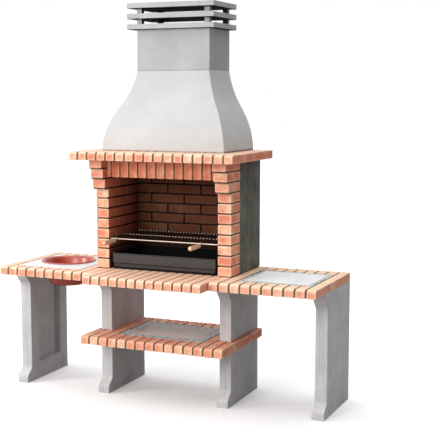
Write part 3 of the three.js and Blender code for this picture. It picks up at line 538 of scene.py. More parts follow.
# Heat tint and painted shade: a dark brown chrome for the wire over the coals and in the joints.
browned_and_shaded_chrome, tree, surface = new_finish("chrome_browned_and_painted_shade")
tint = add_node(tree, "ValToRGB", {"Fac": pattern(tree, Scale=150, Detail=3)}, [
    (0.35, "#54473f"), (0.7, "#7b6b60")])
set_inputs(surface, {"Base Color": tint, "Roughness": 0.45, "Metallic": 1.0})

beech, tree, surface = new_finish("varnished_turned_beech")
grain = pattern(tree, stretch=(260, 14, 260), Scale=1, Detail=4, Distortion=0.6)
colour = add_node(tree, "ValToRGB", {"Fac": grain}, [
    (0.3, "#d39f76"), (0.5, "#eac29c"), (0.7, "#f6d9ba")])
set_inputs(surface, {"Base Color": colour, "Normal": stacked_relief(tree, (grain, 0.15, 0.3)),
                     "Roughness": 0.45, "Coat Weight": 0.3, "Coat Roughness": 0.2})
print(len(bpy.data.materials), "materials in all")

# %% [markdown]
# ## Building tools
# A casting could be drawn point by point, but its real shape comes from a few operations. Most pieces
# start as a block, and every real arris is a little round, so these two come first.

# %% Blocks and rounds
def new_block(low, high):
    """A block between two corners, in a bmesh of its own."""
    bm = bmesh.new()
    low, high = Vector(low), Vector(high)
    placed = Matrix.Translation((low + high) / 2) @ Matrix.Diagonal((*(high - low), 1))
    bmesh.ops.create_cube(bm, size=1, matrix=placed)
    bm.normal_update()
    return bm


def corners(bm, angle=0.5):
    """The outward edges where two faces meet at more than this angle."""
    bm.normal_update()
    return [e for e in bm.edges if e.is_manifold and e.is_convex and e.calc_face_angle() > angle]


def round_off(bm, edges, radius, segments=3):
    """Rounds edges over with an arc, by a radius in millimetres."""
    bmesh.ops.bevel(bm, geom=edges, offset=radius * MM, segments=segments, profile=0.5, affect="EDGES",
                    material=-1, clamp_overlap=True)


print("a unit block has", len(corners(new_block((0, 0, 0), (1, 1, 1)))), "arrises")

# %% [markdown]
# A piece rides on the body of the frame that carries it, and most pieces stand for the plain casting of
# the same place, which is then hidden. A finished mesh gets weighted normals, which keep the broad faces
# flat right up to the small rounds.

# %% Finished pieces
def add_piece(bm, name, finishes, stands_for=None, body="masonry", angle=38):
    """Makes an object of a bmesh, smooths it and puts it on its body."""
    mesh = bpy.data.meshes.new(name)
    bm.to_mesh(mesh)
    bm.free()
    for finish in finishes:
        mesh.materials.append(finish)
    mesh.shade_smooth()
    mesh.set_sharp_from_angle(angle=math.radians(angle))
    piece = bpy.data.objects.new(name, mesh)
    bpy.context.scene.collection.objects.link(piece)
    piece.modifiers.new("even_faces", "WEIGHTED_NORMAL").keep_sharp = True
    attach(piece, body)
    if stands_for:
        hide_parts(stands_for)
    print(f"{name}: {len(mesh.polygons)} faces")
    return piece


# %% [markdown]
# ## Brickwork
# A brick is a block whose arrises are rounded over. The slips that edge a slab have a big round on their
# upper front arris, where hands and clothes brush past. Each is laid by hand, so it leans by a few tenths
# of a millimetre, and its tone is drawn from a seeded series, so that every run gives the same wall.

# %% What each brick is told
draw = random.Random(28)


def new_wall():
    """An empty bmesh that bricks are laid in, with room for what each vertex is told."""
    wall = bmesh.new()
    layers = wall.verts.layers
    layers.float_vector.new("brick_local")
    layers.float_vector.new("brick_half")
    layers.float.new("brick_tone")
    return wall


def tell_brick(bm, tone):
    """Writes on each vertex where it is in its brick, how large the brick is, and the brick's tone."""
    low = Vector([min(v.co[i] for v in bm.verts) for i in range(3)])
    high = Vector([max(v.co[i] for v in bm.verts) for i in range(3)])
    middle, size = (low + high) / 2, (high - low) / 2
    local = bm.verts.layers.float_vector.new("brick_local")
    half = bm.verts.layers.float_vector.new("brick_half")
    shade = bm.verts.layers.float.new("brick_tone")
    for vert in bm.verts:
        vert[local] = vert.co - middle
        vert[half] = size
        vert[shade] = tone
    return middle, size


print("the first tone would be", round(random.Random(28).random(), 3))

# %% One brick
def settle(bm, middle, half):
    """Leans a laid brick by a hair, with its ends at most 0.3 mm out of place."""
    play = 0.3 * MM / half.length
    turn = Matrix.Rotation(draw.uniform(-play, play), 4, "Z") @ Matrix.Rotation(
        draw.uniform(-play, play), 4, "X")
    bmesh.ops.transform(bm, matrix=turn, space=Matrix.Translation(-middle), verts=bm.verts)


def add_to(whole, part):
    """Moves one bmesh into another."""
    mesh = bpy.data.meshes.new("part")
    part.to_mesh(mesh)
    part.free()
    whole.from_mesh(mesh)
    bpy.data.meshes.remove(mesh)


def lay_brick(wall, low, high, arris=3, nose=0, reach=1):
    """Lays a brick between two corners. Arris and nose are radii in millimetres, reach limits its tone."""
    hair = Vector((0.4, 0.4, 0)) * MM
    bm = new_block(Vector(low) + hair, Vector(high) - hair)
    if nose:
        front = min(v.co.y for v in bm.verts)
        top = max(v.co.z for v in bm.verts)
        round_off(bm, [e for e in bm.edges if all(v.co.y < front + MM and v.co.z > top - MM
                                                  for v in e.verts)], nose, 5)
    round_off(bm, corners(bm), arris)
    settle(bm, *tell_brick(bm, draw.random() * reach))
    add_to(wall, bm)


sample = new_wall()
lay_brick(sample, (0, 0, 0), (0.05, 0.3, 0.05), nose=12)
print("one brick:", len(sample.faces), "faces")
sample.free()

# %% [markdown]
# ### Slabs edged with brick
# Hearth, worktops, shelf and mantel are cast slabs: brick slips lie side by side in a bed of mortar
# that stands a few millimetres below them. Where a board is let into the slab, the slips only run along
# its front and back, and the bed is sunk to take the board.

# %% Slips and beds
def strips(low, high, count, joint):
    """Equal strips between two edges, with a joint between each two."""
    width = (high - low - joint * (count - 1)) / count
    return [(low + i * (width + joint), low + i * (width + joint) + width) for i in range(count)]


def lay_slip(wall, span, front, back, z, nose=17, arris=3.2):
    """One slip, from one depth to another. Only a slip at the slab's edge has the big round."""
    lay_brick(wall, (span[0], ahead(front), z[0]), (span[1], ahead(back), z[1]), arris, nose)


def score(bm, cuts):
    """Cuts edges into the faces along planes, each an axis (0, 1 or 2 for X, Y or Z) and a place on it."""
    for axis, place in cuts:
        along = Vector([float(i == axis) for i in range(3)])
        bmesh.ops.bisect_plane(bm, geom=[*bm.verts, *bm.edges, *bm.faces], plane_co=along * place,
                               plane_no=along)


def face_at(bm, spot, is_wanted):
    """The face nearest to a spot, among those that pass a test."""
    bm.normal_update()
    return min(filter(is_wanted, bm.faces), key=lambda f: (f.calc_center_median() - spot).length)


def new_bed(low, high, pocket=None):
    """The mortar bed between the slips, with a pocket for a board."""
    rake = Vector((4, 4, 3)) * MM
    bm = new_block(Vector(low) + rake, (high[0] - 4 * MM, high[1], high[2] - 4 * MM))
    front = [e for e in corners(bm) if all(v.co.y < low[1] + 5 * MM and v.co.z > high[2] - 5 * MM
                                           for v in e.verts)]
    round_off(bm, front, 14, 4)
    if pocket:
        (x0, y0), (x1, y1), sunk = pocket
        score(bm, ((0, x0), (0, x1), (1, y0), (1, y1)))
        top = max(v.co.z for v in bm.verts)
        floor = face_at(bm, Vector(((x0 + x1) / 2, (y0 + y1) / 2, top)), lambda f: f.normal.z > 0.9)
        bmesh.ops.inset_individual(bm, faces=[floor], thickness=0, depth=sunk - top)
    return bm


print("five strips:", [round(a) for a, _ in strips(0, 290, 5, 10)])

# %% [markdown]
# The hearth is the plainest slab: thirteen slips from front to back. The mantel is the same with
# seventeen, and with the smoke opening cut through the middle, so the slips there come in two lengths.

# %% An opening through a slab
smoke_x, smoke_front, smoke_back = 335 * MM, 345, 75


def pierce(bm, low, high):
    """A rectangular opening straight down through a block, between two corners in X and Y."""
    ends = [f for f in bm.faces if abs(f.normal.z) > 0.99]
    bmesh.ops.inset_individual(bm, faces=ends, thickness=1 * MM)
    rims = []
    for face in ends:
        middle = face.calc_center_median()
        for vert in face.verts:
            vert.co.x = low[0] if vert.co.x < middle.x else high[0]
            vert.co.y = low[1] if vert.co.y < middle.y else high[1]
        rims += list(face.edges)
    bmesh.ops.delete(bm, geom=ends, context="FACES_ONLY")
    bmesh.ops.bridge_loops(bm, edges=rims)
    bmesh.ops.recalc_face_normals(bm, faces=bm.faces)


print("the smoke opening is", round(2 * smoke_x / MM), "by", smoke_front - smoke_back, "mm")

# %% Hearth and mantel
hearth_slips, hearth_joint, mantel_slips, slip_joint = 13, 9, 17, 10
low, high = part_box("hearth_slab")
wall = new_wall()
for span in strips(low.x, high.x, hearth_slips, hearth_joint * MM):
    lay_slip(wall, span, hearth_front, 0, (low.z, high.z))
add_piece(wall, "hearth_bricks", [hearth_brick], "hearth_slab")
add_piece(new_bed(low, high), "hearth_mortar", [mortar])

low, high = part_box("mantel_slab")
mantel_front = 612
wall = new_wall()
for span in strips(low.x, high.x, mantel_slips, slip_joint * MM):
    over_smoke = abs(span[0] + span[1]) / 2 < smoke_x
    lay_slip(wall, span, mantel_front, smoke_front if over_smoke else 0, (low.z, high.z))
    if over_smoke:
        lay_slip(wall, span, smoke_back, 0, (low.z, high.z), nose=0)
add_piece(wall, "mantel_bricks", [facing_brick], "mantel_slab")
bed = new_bed(low, high)
pierce(bed, (-smoke_x, ahead(smoke_front)), (smoke_x, ahead(smoke_back)))
add_piece(bed, "mantel_mortar", [mortar])

# %% [markdown]
# ### Slabs with a board let in
# Shelf and worktops are framed: full slips at both ends, short slips in front of and behind the board.
# The outermost slip of each worktop is made of two, with a joint where the photograph shows it.

# %% Framed slabs
split_front, split_back = 404, 388
board_depth = 20.6 * MM


def framed_slab(name, count, left, right, front, front_row, back_row, finish, split=None):
    """Lays a framed slab with full slips at its left and right, and gives back the bed for its board."""
    low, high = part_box(f"{name}_slab")
    z = (low.z, high.z)
    columns = strips(low.x, high.x, count, slip_joint * MM)
    wall = new_wall()
    for i, span in enumerate(columns):
        is_full = i < left or i >= count - right
        if is_full and i != split:
            lay_slip(wall, span, front, 0, z)
        else:
            lay_slip(wall, span, front, split_front if is_full else front - front_row, z)
            lay_slip(wall, span, split_back if is_full else back_row, 0, z, nose=0)
    add_piece(wall, f"{name}_bricks", [finish], f"{name}_slab")
    return new_bed(low, high, ((columns[left][0], ahead(front - front_row - slip_joint)),
                               (columns[count - right - 1][1], ahead(back_row + slip_joint)),
                               high.z - board_depth))


beds = {"lower_shelf": framed_slab("lower_shelf", 15, 3, 3, 613, 128, 95, shelf_brick),
        "right_worktop": framed_slab("right_worktop", 10, 2, 1, 627, 110, 100, strong_light_brick, 9),
        "left_worktop": framed_slab("left_worktop", 10, 1, 2, 627, 93, 85, facing_brick, 0)}

# %% [markdown]
# The sink hangs in a round hole through the bed and the board of the left worktop. A many-sided
# cylinder is cut out of both, at the place of the frame's own basin. The cut is Blender's own Boolean,
# which works on scratch objects that are thrown away.

# %% Cutting a round hole
basin_low, basin_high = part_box("sink_basin")
basin_middle = (basin_low + basin_high) / 2
basin_top = basin_high.z


def scratch_object(data):
    """A scratch object for a mesh or a curve."""
    holder = bpy.data.objects.new("scratch", data)
    bpy.context.scene.collection.objects.link(holder)
    return holder


def as_shown(holder):
    """The shape of a scratch object with its modifiers and its bevel, as a bmesh."""
    shaped = holder.evaluated_get(bpy.context.evaluated_depsgraph_get())
    bm = bmesh.new()
    bm.from_mesh(shaped.to_mesh())
    shaped.to_mesh_clear()
    return bm


def cut_out(whole, tool):
    """Takes a closed bmesh out of another, and gives back what is left."""
    meshes = [bpy.data.meshes.new("scratch") for _ in range(2)]
    for bm, mesh in zip((whole, tool), meshes):
        bm.to_mesh(mesh)
        bm.free()
    block, drill = (scratch_object(mesh) for mesh in meshes)
    cut = block.modifiers.new("cut", "BOOLEAN")
    cut.operation, cut.solver, cut.object = "DIFFERENCE", "EXACT", drill
    rest = as_shown(block)
    for mesh in meshes:
        bpy.data.meshes.remove(mesh)
    return rest


def new_drill(radius, low, high, middle, segments=96):
    """A closed cylinder along Z, as a cutting tool."""
    bm = bmesh.new()
    placed = Matrix.Translation((middle[0], middle[1], (low + high) / 2))
    bmesh.ops.create_cone(bm, cap_ends=True, segments=segments, radius1=radius, radius2=radius,
                          depth=high - low, matrix=placed)
    return bm


sink_hole = 153 * MM
print("the hole for the sink is", round(2 * sink_hole / MM), "mm wide")

# %% Beds, boards and the hole for the sink
def eased_block(low, high, ease, segments=3):
    """A block with all its arrises rounded."""
    bm = new_block(low, high)
    round_off(bm, corners(bm), ease, segments)
    return bm


boards = {name: eased_block(*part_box(f"{name}_panel"), 1.2) for name in beds}
for layer in (beds, boards):
    drill = new_drill(sink_hole, basin_top - 0.1, basin_top + 0.02, basin_middle)
    layer["left_worktop"] = cut_out(layer["left_worktop"], drill)
for name, bed in beds.items():
    add_piece(bed, f"{name}_mortar", [mortar])
for name, board in boards.items():
    finish = shelf_board if name == "lower_shelf" else stone_board
    add_piece(board, f"{name}_stone", [finish], f"{name}_panel")

# %% [markdown]
# ### Mosaic bands
# The band is a grout bed with rows of split stones about 10 mm square pressed into it. Every stone could
# be a modelled rock, but there are hundreds, so each is a small block with its upper arrises bevelled once,
# and its tone and a slight difference in size and height make the band lively.

# %% Mosaic
grout_sunk, stone_height, stone_round = 1.2 * MM, 3 * MM, 0.8


def mosaic_band(name, rows):
    """Grout with rows of stones that run round it, in the place of a band node."""
    low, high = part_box(f"{name}_mosaic_band")
    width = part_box(f"{name}_panel")[0].x - low.x
    bed = new_block(low, (high.x, high.y, high.z - grout_sunk))
    pierce(bed, (low.x + width, low.y + width), (high.x - width, high.y - width))
    add_piece(bed, f"{name}_mosaic_grout", [grout])
    across, deep = (round((high[i] - low[i]) * rows / width) for i in (0, 1))
    step_x, step_y = (high.x - low.x) / across, (high.y - low.y) / deep
    stones = new_wall()
    for i in range(across):
        for j in range(deep):
            if rows <= i < across - rows and rows <= j < deep - rows:
                continue
            joint = draw.uniform(0.6, 1.1) * MM
            foot = high.z - stone_height
            stone = new_block((low.x + i * step_x + joint, low.y + j * step_y + joint, foot),
                              (low.x + (i + 1) * step_x - joint, low.y + (j + 1) * step_y - joint,
                               high.z - draw.uniform(0, 0.5) * MM))
            upper = [e for e in stone.edges if all(v.co.z > foot + MM for v in e.verts)]
            round_off(stone, upper, stone_round, 1)
            tell_brick(stone, draw.random())
            add_to(stones, stone)
    add_piece(stones, f"{name}_mosaic_stones", [mosaic_stone], f"{name}_mosaic_band")
    print(name, "band:", across, "by", deep, "stones,", rows, "rows")


mosaic_band("lower_shelf", 4)
mosaic_band("right_worktop", 2)

# %% [markdown]
# ### Firebox walls
# Courses are 50 mm high with joints of 9 mm. A front column brick is 82 by 129 mm, and behind it the
# inner leaf runs back to the facing of the back wall in a broken bond. Every other column brick is longer
# on the inside, which ties the two together. The joints inside are raked 12 mm deep, so that the ends of
# the grill's rods can ride in them.

# %% Courses
hearth_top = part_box("hearth_slab")[1].z
wall_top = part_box("left_brick_wall")[1].z
course_rise, course_height, course_count, column_courses = 59 * MM, 50 * MM, 11, 8
inner_x, outer_x, leaf_x = 346 * MM, 428 * MM, 386 * MM
column_back, leaf_back = 313, 64
sides = (("left", -1), ("right", 1))


def course(i, shift=0):
    """The lower and upper edge of a course. The top course is cut to end under the mantel."""
    base = hearth_top + (5.5 + shift) * MM + i * course_rise
    return base, min(base + course_height, wall_top)


def sided(side, near, far):
    """The same X span on the left (-1) or the right (1)."""
    return (near, far) if side > 0 else (-far, -near)


def deep_block(span, front, back, z):
    """A block across an X span, from one depth to another."""
    return new_block((span[0], ahead(front), z[0]), (span[1], ahead(back), z[1]))


print("the top course is", round((wall_top - course(course_count - 1)[0]) / MM, 1), "mm high")

# %% A tied column brick
tied_by = 81


def picked(made, kind):
    """The vertices, edges or faces of what an operator has made."""
    return [g for g in made["geom"] if isinstance(g, kind)]


def corner_brick(wall, side, z):
    """A column brick whose inner half runs on as part of the leaf."""
    hair = 0.4 * MM
    x0, x1 = sided(side, inner_x, outer_x)
    bm = new_block((x0 + hair, ahead(column_front) + hair, z[0]), (x1 - hair, ahead(column_back), z[1]))
    score(bm, [(0, side * (leaf_x - hair))])
    back = [f for f in bm.faces if f.normal.y > 0.9 and abs(f.calc_center_median().x) < leaf_x]
    grown = picked(bmesh.ops.extrude_face_region(bm, geom=back), bmesh.types.BMVert)
    bmesh.ops.delete(bm, geom=back, context="FACES_ONLY")
    bmesh.ops.translate(bm, vec=(0, tied_by * MM, 0), verts=grown)
    bmesh.ops.recalc_face_normals(bm, faces=bm.faces)
    round_off(bm, corners(bm), 3)
    tell_brick(bm, draw.random())
    add_to(wall, bm)


print("a tied brick is", column_front - column_back + tied_by, "mm long on the inside")

# %% The two side walls
def mark(bm, is_marked=lambda spot, normal: True):
    """Gives the second finish to the faces whose middle and normal pass a test, or to all of them."""
    bm.normal_update()
    for face in bm.faces:
        face.material_index = int(is_marked(face.calc_center_median(), face.normal))


def gets_firebox_shade(spot, normal):
    """Whether a wall face gets the painted firebox shade: the whole leaf, and the inner half of the column
    behind its front.
    """
    in_column = spot.y > ahead(column_front - 6) and normal.y > -0.3 and abs(spot.x) < leaf_x - MM
    return in_column or spot.y > ahead(column_back - 0.5)


for name, side in sides:
    wall = new_wall()
    column, leaf = sided(side, inner_x, outer_x), sided(side, inner_x, leaf_x)
    for i in range(course_count):
        z = course(i)
        tied = i % 2 == 1
        if i < column_courses and tied:
            corner_brick(wall, side, z)
        elif i < column_courses:
            lay_slip(wall, column, column_front, column_back, z, 0, 3)
        elif tied:
            lay_slip(wall, leaf, 312, 232, z, 0, 3)
        lay_slip(wall, leaf, 229 if tied else 310, leaf_back, z, 0, 3)
    # The faces in the firebox get the painted shade.
    mark(wall, gets_firebox_shade)
    add_piece(wall, f"{name}_wall_bricks", [facing_brick, firebox_brick], f"{name}_brick_wall")
    core = deep_block(sided(side, inner_x + 12 * MM, outer_x - 4 * MM), column_front - 4, column_back,
                      (hearth_top, course(column_courses)[0] - 9.5 * MM))
    add_to(core, deep_block(sided(side, inner_x + 12 * MM, leaf_x - 0.5 * MM), column_back - 0.2,
                            leaf_back - 0.5, (hearth_top, wall_top)))
    # The faces towards the firebox and the leaf get the mortar in painted shade.
    mark(core, lambda spot, normal: normal.x * side < -0.7 or spot.y > ahead(column_back - 0.1))
    add_piece(core, f"{name}_wall_mortar", [mortar, shaded_mortar])

# %% [markdown]
# ### Corbels, back wall and lintel
# Three courses step out under the mantel, 20 mm or so each. The back wall is laid in half bond with long
# bricks. The lintel is a row of soldiers, bricks stood on end, along a cast beam.

# %% Corbels
corbel_fronts = (482, 504, 523)
for name, side in sides:
    wall, core = new_wall(), bmesh.new()
    x0, x1 = sided(side, inner_x, outer_x)
    for i, depth in enumerate(corbel_fronts):
        z = course(column_courses + i)
        lay_slip(wall, (x0, x1), depth, column_back + 0.3, z, 0, 3)
        under = z[0] - course_rise + course_height + 0.5 * MM
        add_to(core, deep_block((x0 + 4 * MM, x1 - 4 * MM), depth - 4, column_back + 4,
                                (under, z[0] + 4 * MM)))
    # The faces towards the firebox get the painted shade, on the bricks and in the mortar.
    for bm in (wall, core):
        mark(bm, lambda spot, normal: normal.x * side < -0.9)
    add_piece(wall, f"{name}_corbel_bricks", [facing_brick, firebox_brick], f"{name}_corbel")
    add_piece(core, f"{name}_corbel_mortar", [mortar, shaded_mortar])

# %% Back wall and lintel
low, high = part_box("back_brick_wall")
half_joint, brick_pitch, first_joint = 5 * MM, 220 * MM, 127 * MM
wall = new_wall()
for i in range(course_count):
    z = course(i, 3)
    joint = low.x + first_joint + (brick_pitch / 2 if i % 2 else 0)
    start = low.x
    while joint < inner_x:
        lay_brick(wall, (start, low.y, z[0]), (joint - half_joint, high.y, z[1]))
        start = joint + half_joint
        joint += brick_pitch
    lay_brick(wall, (start, low.y, z[0]), (high.x, high.y, z[1]))
# The back wall and its mortar are all in painted shade.
add_piece(wall, "back_wall_bricks", [firebox_brick], "back_brick_wall")
add_piece(new_block((low.x + MM, low.y + 4 * MM, low.z), (high.x - MM, high.y - MM, high.z)),
          "back_wall_mortar", [shaded_mortar])

low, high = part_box("lintel")
soldiers, soldier_pitch, soldier_joint = 13, 57.5 * MM, 8.6 * MM
edges = [low.x] + [soldier_pitch * (i - 5.5) for i in range(soldiers - 1)] + [high.x]
wall = new_wall()
for i in range(soldiers):
    start = edges[i] + (soldier_joint / 2 if i else 0)
    end = edges[i + 1] - (soldier_joint / 2 if i < soldiers - 1 else 0)
    # The lintel's tones are held to the darker, redder end, part of its painted shade.
    lay_brick(wall, (start, low.y, low.z), (end, high.y, high.z), reach=0.3)
add_piece(wall, "lintel_bricks", [lintel_brick], "lintel")
rake = Vector((1, 4, 4)) * MM
add_piece(new_block(low + rake, (high.x - MM, high.y - 4 * MM, high.z)), "lintel_mortar", [mortar])

# %% [markdown]
# ## Concrete castings
# A leg is a slab 71 mm thick whose side outline flares to a foot and to a corbelled head. It is drawn as
# one face from that outline, given its thickness, and only then are the bends of the flares softened and
# the arrises rounded. The outer legs have a sunk panel on the face towards the bay: the face is cut
# along the panel's edges, inset by the mould's draft and pushed in. The draft that looks to the front is
# painted darker as shade.

# %% Legs: the sunk panel
panel_front, panel_back, panel_low, panel_high, draft, sunk = 331, 84, 105, 592, 12, 35


def sink_panel(bm, side, x):
    """Sinks the panel into the left (-1) or right (1) face of a leg, which lies at x."""
    score(bm, ((1, ahead(panel_back)), (1, ahead(panel_front)), (2, panel_low * MM), (2, panel_high * MM)))
    middle = Vector((x, ahead((panel_back + panel_front) / 2), (panel_low + panel_high) / 2 * MM))
    panel = face_at(bm, middle, lambda f: f.normal.x * side > 0.9)
    rim = list(panel.edges)
    bmesh.ops.inset_individual(bm, faces=[panel], thickness=draft * MM, depth=-sunk * MM)
    round_off(bm, [e for e in rim if e.is_valid], 2, 2)


print("the panel is", panel_front - panel_back, "by", panel_high - panel_low, "mm")

# %% Legs
leg_depth, foot_depth, head_depth, bend_radius = 415, 463, 457, 16
foot_bends = [(foot_depth, 45), (leg_depth, 81)]
head_bends = [(leg_depth, -84), (head_depth, -43)]


def cast_leg(name, has_foot, has_head, recess=0):
    """A leg in the place of its node. Recess is -1 or 1 for a panel sunk into its left or right face."""
    low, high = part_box(name)
    bends_low = [(depth, low.z + up * MM) for depth, up in foot_bends if has_foot]
    bends_high = [(depth, high.z + up * MM) for depth, up in head_bends if has_head]
    outline = [(0, low.z), (foot_depth if has_foot else leg_depth, low.z), *bends_low, *bends_high,
               (head_depth if has_head else leg_depth, high.z), (0, high.z)]
    bm = bmesh.new()
    face = bm.faces.new([bm.verts.new((low.x, ahead(depth), z)) for depth, z in outline])
    grown = picked(bmesh.ops.extrude_face_region(bm, geom=[face]), bmesh.types.BMVert)
    bmesh.ops.translate(bm, vec=(high.x - low.x, 0, 0), verts=grown)
    bmesh.ops.recalc_face_normals(bm, faces=bm.faces)
    soft = [Vector((ahead(depth), z)) for depth, z in bends_low + bends_high]
    round_off(bm, [e for e in bm.edges if abs(e.verts[0].co.x - e.verts[1].co.x) > 10 * MM
                   and any((e.verts[0].co.yz - spot).length < MM for spot in soft)], bend_radius, 6)
    if recess:
        sink_panel(bm, recess, high.x if recess > 0 else low.x)
    round_off(bm, corners(bm, 1.2), 3)
    # The draft that looks to the front gets the painted shade.
    shaded_draft_y = ahead(panel_back + draft / 2)
    mark(bm, lambda spot, normal: recess and normal.y < -0.8 and abs(spot.y - shaded_draft_y) < 10 * MM)
    add_piece(bm, f"{name}_casting", [leg_concrete, concrete_in_painted_shade], name)


cast_leg("left_outer_leg", True, True, recess=1)
cast_leg("right_outer_leg", True, True, recess=-1)
for name, _ in sides:
    cast_leg(f"{name}_inner_leg_lower", True, False)
    cast_leg(f"{name}_inner_leg_upper", False, True)

# %% [markdown]
# The plain boards of the firebox and the little posts of the cap are simple blocks, but a real casting
# never has a razor edge, so each gets its arrises rounded. The posts are nearly black where they face the
# flue, partly soot and partly painted shade.

# %% Boards and posts
for node in ("left_side_panel", "right_side_panel", "back_panel"):
    add_piece(eased_block(*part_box(node), 3), f"{node}_casting", [dark_concrete], node)
for tier in ("lower", "upper"):
    for row, to_flue_y in (("front", 1), ("back", -1)):
        for name, side in sides:
            node = f"{tier}_cap_post_{row}_{name}"
            post = eased_block(*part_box(node), 2)
            # The faces towards the flue get the soot and painted shade.
            mark(post, lambda spot, normal: max(-normal.x * side, normal.y * to_flue_y) > 0.7)
            add_piece(post, f"{node}_casting", [cap_concrete, soot_and_shade_concrete], node)

# %% [markdown]
# ## Smoke hood, chimney and cap
# The hood gathers the smoke in an ogee: it leaves the mantel upright, sweeps in and ends upright under
# the chimney. Its back stays flat. The ring at its foot is extruded upward level by level, each level
# scaled to its width and depth about the back plane, and the shell then gets its wall by Solidify.

# %% The curve and the levels of the hood
shares = [0, 0.06, 0.145, 0.255, 0.4, 0.575, 0.725, 0.84, 0.93, 0.983, 1]


def gathered(height):
    """The share of the flare left at a height from 0 to 1, on a smooth curve through the shares."""
    place = (1 - height) * (len(shares) - 1)
    i = min(int(place), len(shares) - 2)
    t = place - i
    before, start, end, after = (shares[max(0, min(len(shares) - 1, i + k))] for k in (-1, 0, 1, 2))
    return 0.5 * (2 * start + (end - before) * t + (2 * before - 5 * start + 4 * end - after) * t * t
                  + (3 * start - before - 3 * end + after) * t ** 3)


def new_sheet(middle, width, depth):
    """One flat face, to grow something from."""
    bm = bmesh.new()
    placed = Matrix.Translation(middle) @ Matrix.Diagonal((width, depth, 1, 1))
    bmesh.ops.create_grid(bm, x_segments=1, y_segments=1, size=0.5, matrix=placed)
    return bm


def next_level(bm, made, stretch, middle, rise):
    """Scales what was extruded about a middle in X and Y and lifts it."""
    verts = picked(made, bmesh.types.BMVert)
    about = Matrix.Translation((-middle[0], -middle[1], 0))
    bmesh.ops.scale(bm, vec=(*stretch, 1), verts=verts, space=about)
    bmesh.ops.translate(bm, vec=(0, 0, rise), verts=verts)


print("half way up, the flare is", round(gathered(0.5), 3), "of its foot")

# %% Hood
low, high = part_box("smoke_hood")
narrow, wide, short, deep = 229 * MM, 384 * MM, 290 * MM, 443 * MM
levels = 40
bm = new_sheet((0, high.y - deep / 2, low.z), 2 * wide, deep)
bmesh.ops.delete(bm, geom=bm.faces[:], context="FACES_ONLY")
ring, width, depth = bm.edges[:], wide, deep
for i in range(1, levels + 1):
    made = bmesh.ops.extrude_edge_only(bm, edges=ring)
    ring = picked(made, bmesh.types.BMEdge)
    share = gathered(i / levels)
    new_width, new_depth = narrow + share * (wide - narrow), short + share * (deep - short)
    next_level(bm, made, (new_width / width, new_depth / depth), (0, high.y), (high.z - low.z) / levels)
    width, depth = new_width, new_depth
bmesh.ops.recalc_face_normals(bm, faces=bm.faces)
upright = [e for e in bm.edges if e.is_manifold and abs(e.verts[0].co.z - e.verts[1].co.z) > MM
           and abs(e.verts[0].co.x) > 0.2 and e.calc_face_angle() > 1]
round_off(bm, upright, 5)
# The side faces get the painted side light.
mark(bm, lambda spot, normal: abs(normal.x) > 0.8)
hood = add_piece(bm, "smoke_hood_casting", [pale_render, side_lit_render], "smoke_hood")
shell = hood.modifiers.new("wall", "SOLIDIFY")
shell.thickness = 35 * MM
shell.offset = -1
shell.use_even_offset = True
hood.modifiers.move(1, 0)

# %% [markdown]
# Chimney and cap plates are blocks with the flue cut straight through. The lid is closed. The walls of
# the flue and the undersides of the cap plates are nearly black, partly soot and partly painted shade.

# %% Chimney and cap
flue_low, flue_high = (-194 * MM, ahead(255)), (194 * MM, ahead(35))


def faces_flue(spot, normal):
    """Whether a face is a wall of the flue."""
    return (flue_low[0] - MM < spot.x < flue_high[0] + MM and abs(normal.z) < 0.7
            and flue_low[1] - MM < spot.y < flue_high[1] + MM)


for node, ease in (("chimney_block", 1.5), ("lower_cap_ring", 3), ("upper_cap_ring", 3), ("cap_lid", 3)):
    is_chimney, is_open = node == "chimney_block", node != "cap_lid"
    bm = new_block(*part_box(node))
    if is_open:
        pierce(bm, flue_low, flue_high)
    round_off(bm, corners(bm), ease)
    # The flue walls and the undersides of the cap plates get the soot and painted shade.
    mark(bm, lambda spot, normal: is_open and faces_flue(spot, normal) or not is_chimney and normal.z < -0.7)
    finish = grey_render if is_chimney else cap_concrete
    add_piece(bm, f"{node}_casting", [finish, soot_and_shade_concrete], node)

# %% [markdown]
# ## Sink
# The basin is thrown on a wheel, so it is a spun profile: floor, rounded foot, flaring wall and a rolled
# rim. The corners of the profile are rounded after the spin, where they are edge loops.

# %% Spinning
def turned(points, centre, axis, steps, is_loop):
    """A profile spun about an axis. It is a loop, unless both its ends lie on the axis."""
    bm = bmesh.new()
    verts = [bm.verts.new(point) for point in points]
    for a, b in zip(verts, verts[1:] + (verts[:1] if is_loop else [])):
        bm.edges.new((a, b))
    bmesh.ops.spin(bm, geom=bm.verts[:] + bm.edges[:], cent=centre, axis=axis, angle=math.tau,
                   steps=steps, use_merge=True)
    bmesh.ops.remove_doubles(bm, verts=bm.verts, dist=0.01 * MM)
    bmesh.ops.recalc_face_normals(bm, faces=bm.faces)
    return bm


def spun_over_drain(profile, steps, is_loop, rounds):
    """A profile of (radius, height) spun about the drain, with rounds of (point, radius, segments)."""
    x, y = basin_middle.x, basin_middle.y
    bm = turned([(x + r, y, h) for r, h in profile], (x, y, 0), (0, 0, 1), steps, is_loop)
    for point, radius, segments in rounds:
        r, h = profile[point]
        round_off(bm, [e for e in bm.edges if all(
            abs(v.co.z - h) < 0.01 * MM and abs((v.co.xy - Vector((x, y))).length - r) < 0.1 * MM
            for v in e.verts)], radius, segments)
    return bm


print("the drain is at", round(basin_middle.x, 3), round(basin_middle.y, 3))

# %% Basin
under_rim = basin_top - 7 * MM
profile = [(22, 141), (117, 141), (151, 0), (165, 0), (165, -7), (158, -7), (148.5, -2), (143, 8),
           (108, 132), (22, 132)]
profile = [(r * MM, under_rim - d * MM) for r, d in profile]
basin = spun_over_drain(profile, 96, True, [(1, 24, 8), (8, 16, 8), (7, 6, 4), (6, 4, 4), (5, 2.5, 4),
                                            (4, 3, 4), (3, 3, 4)])
add_piece(basin, "sink_basin_bowl", [glazed_clay], "sink_basin")

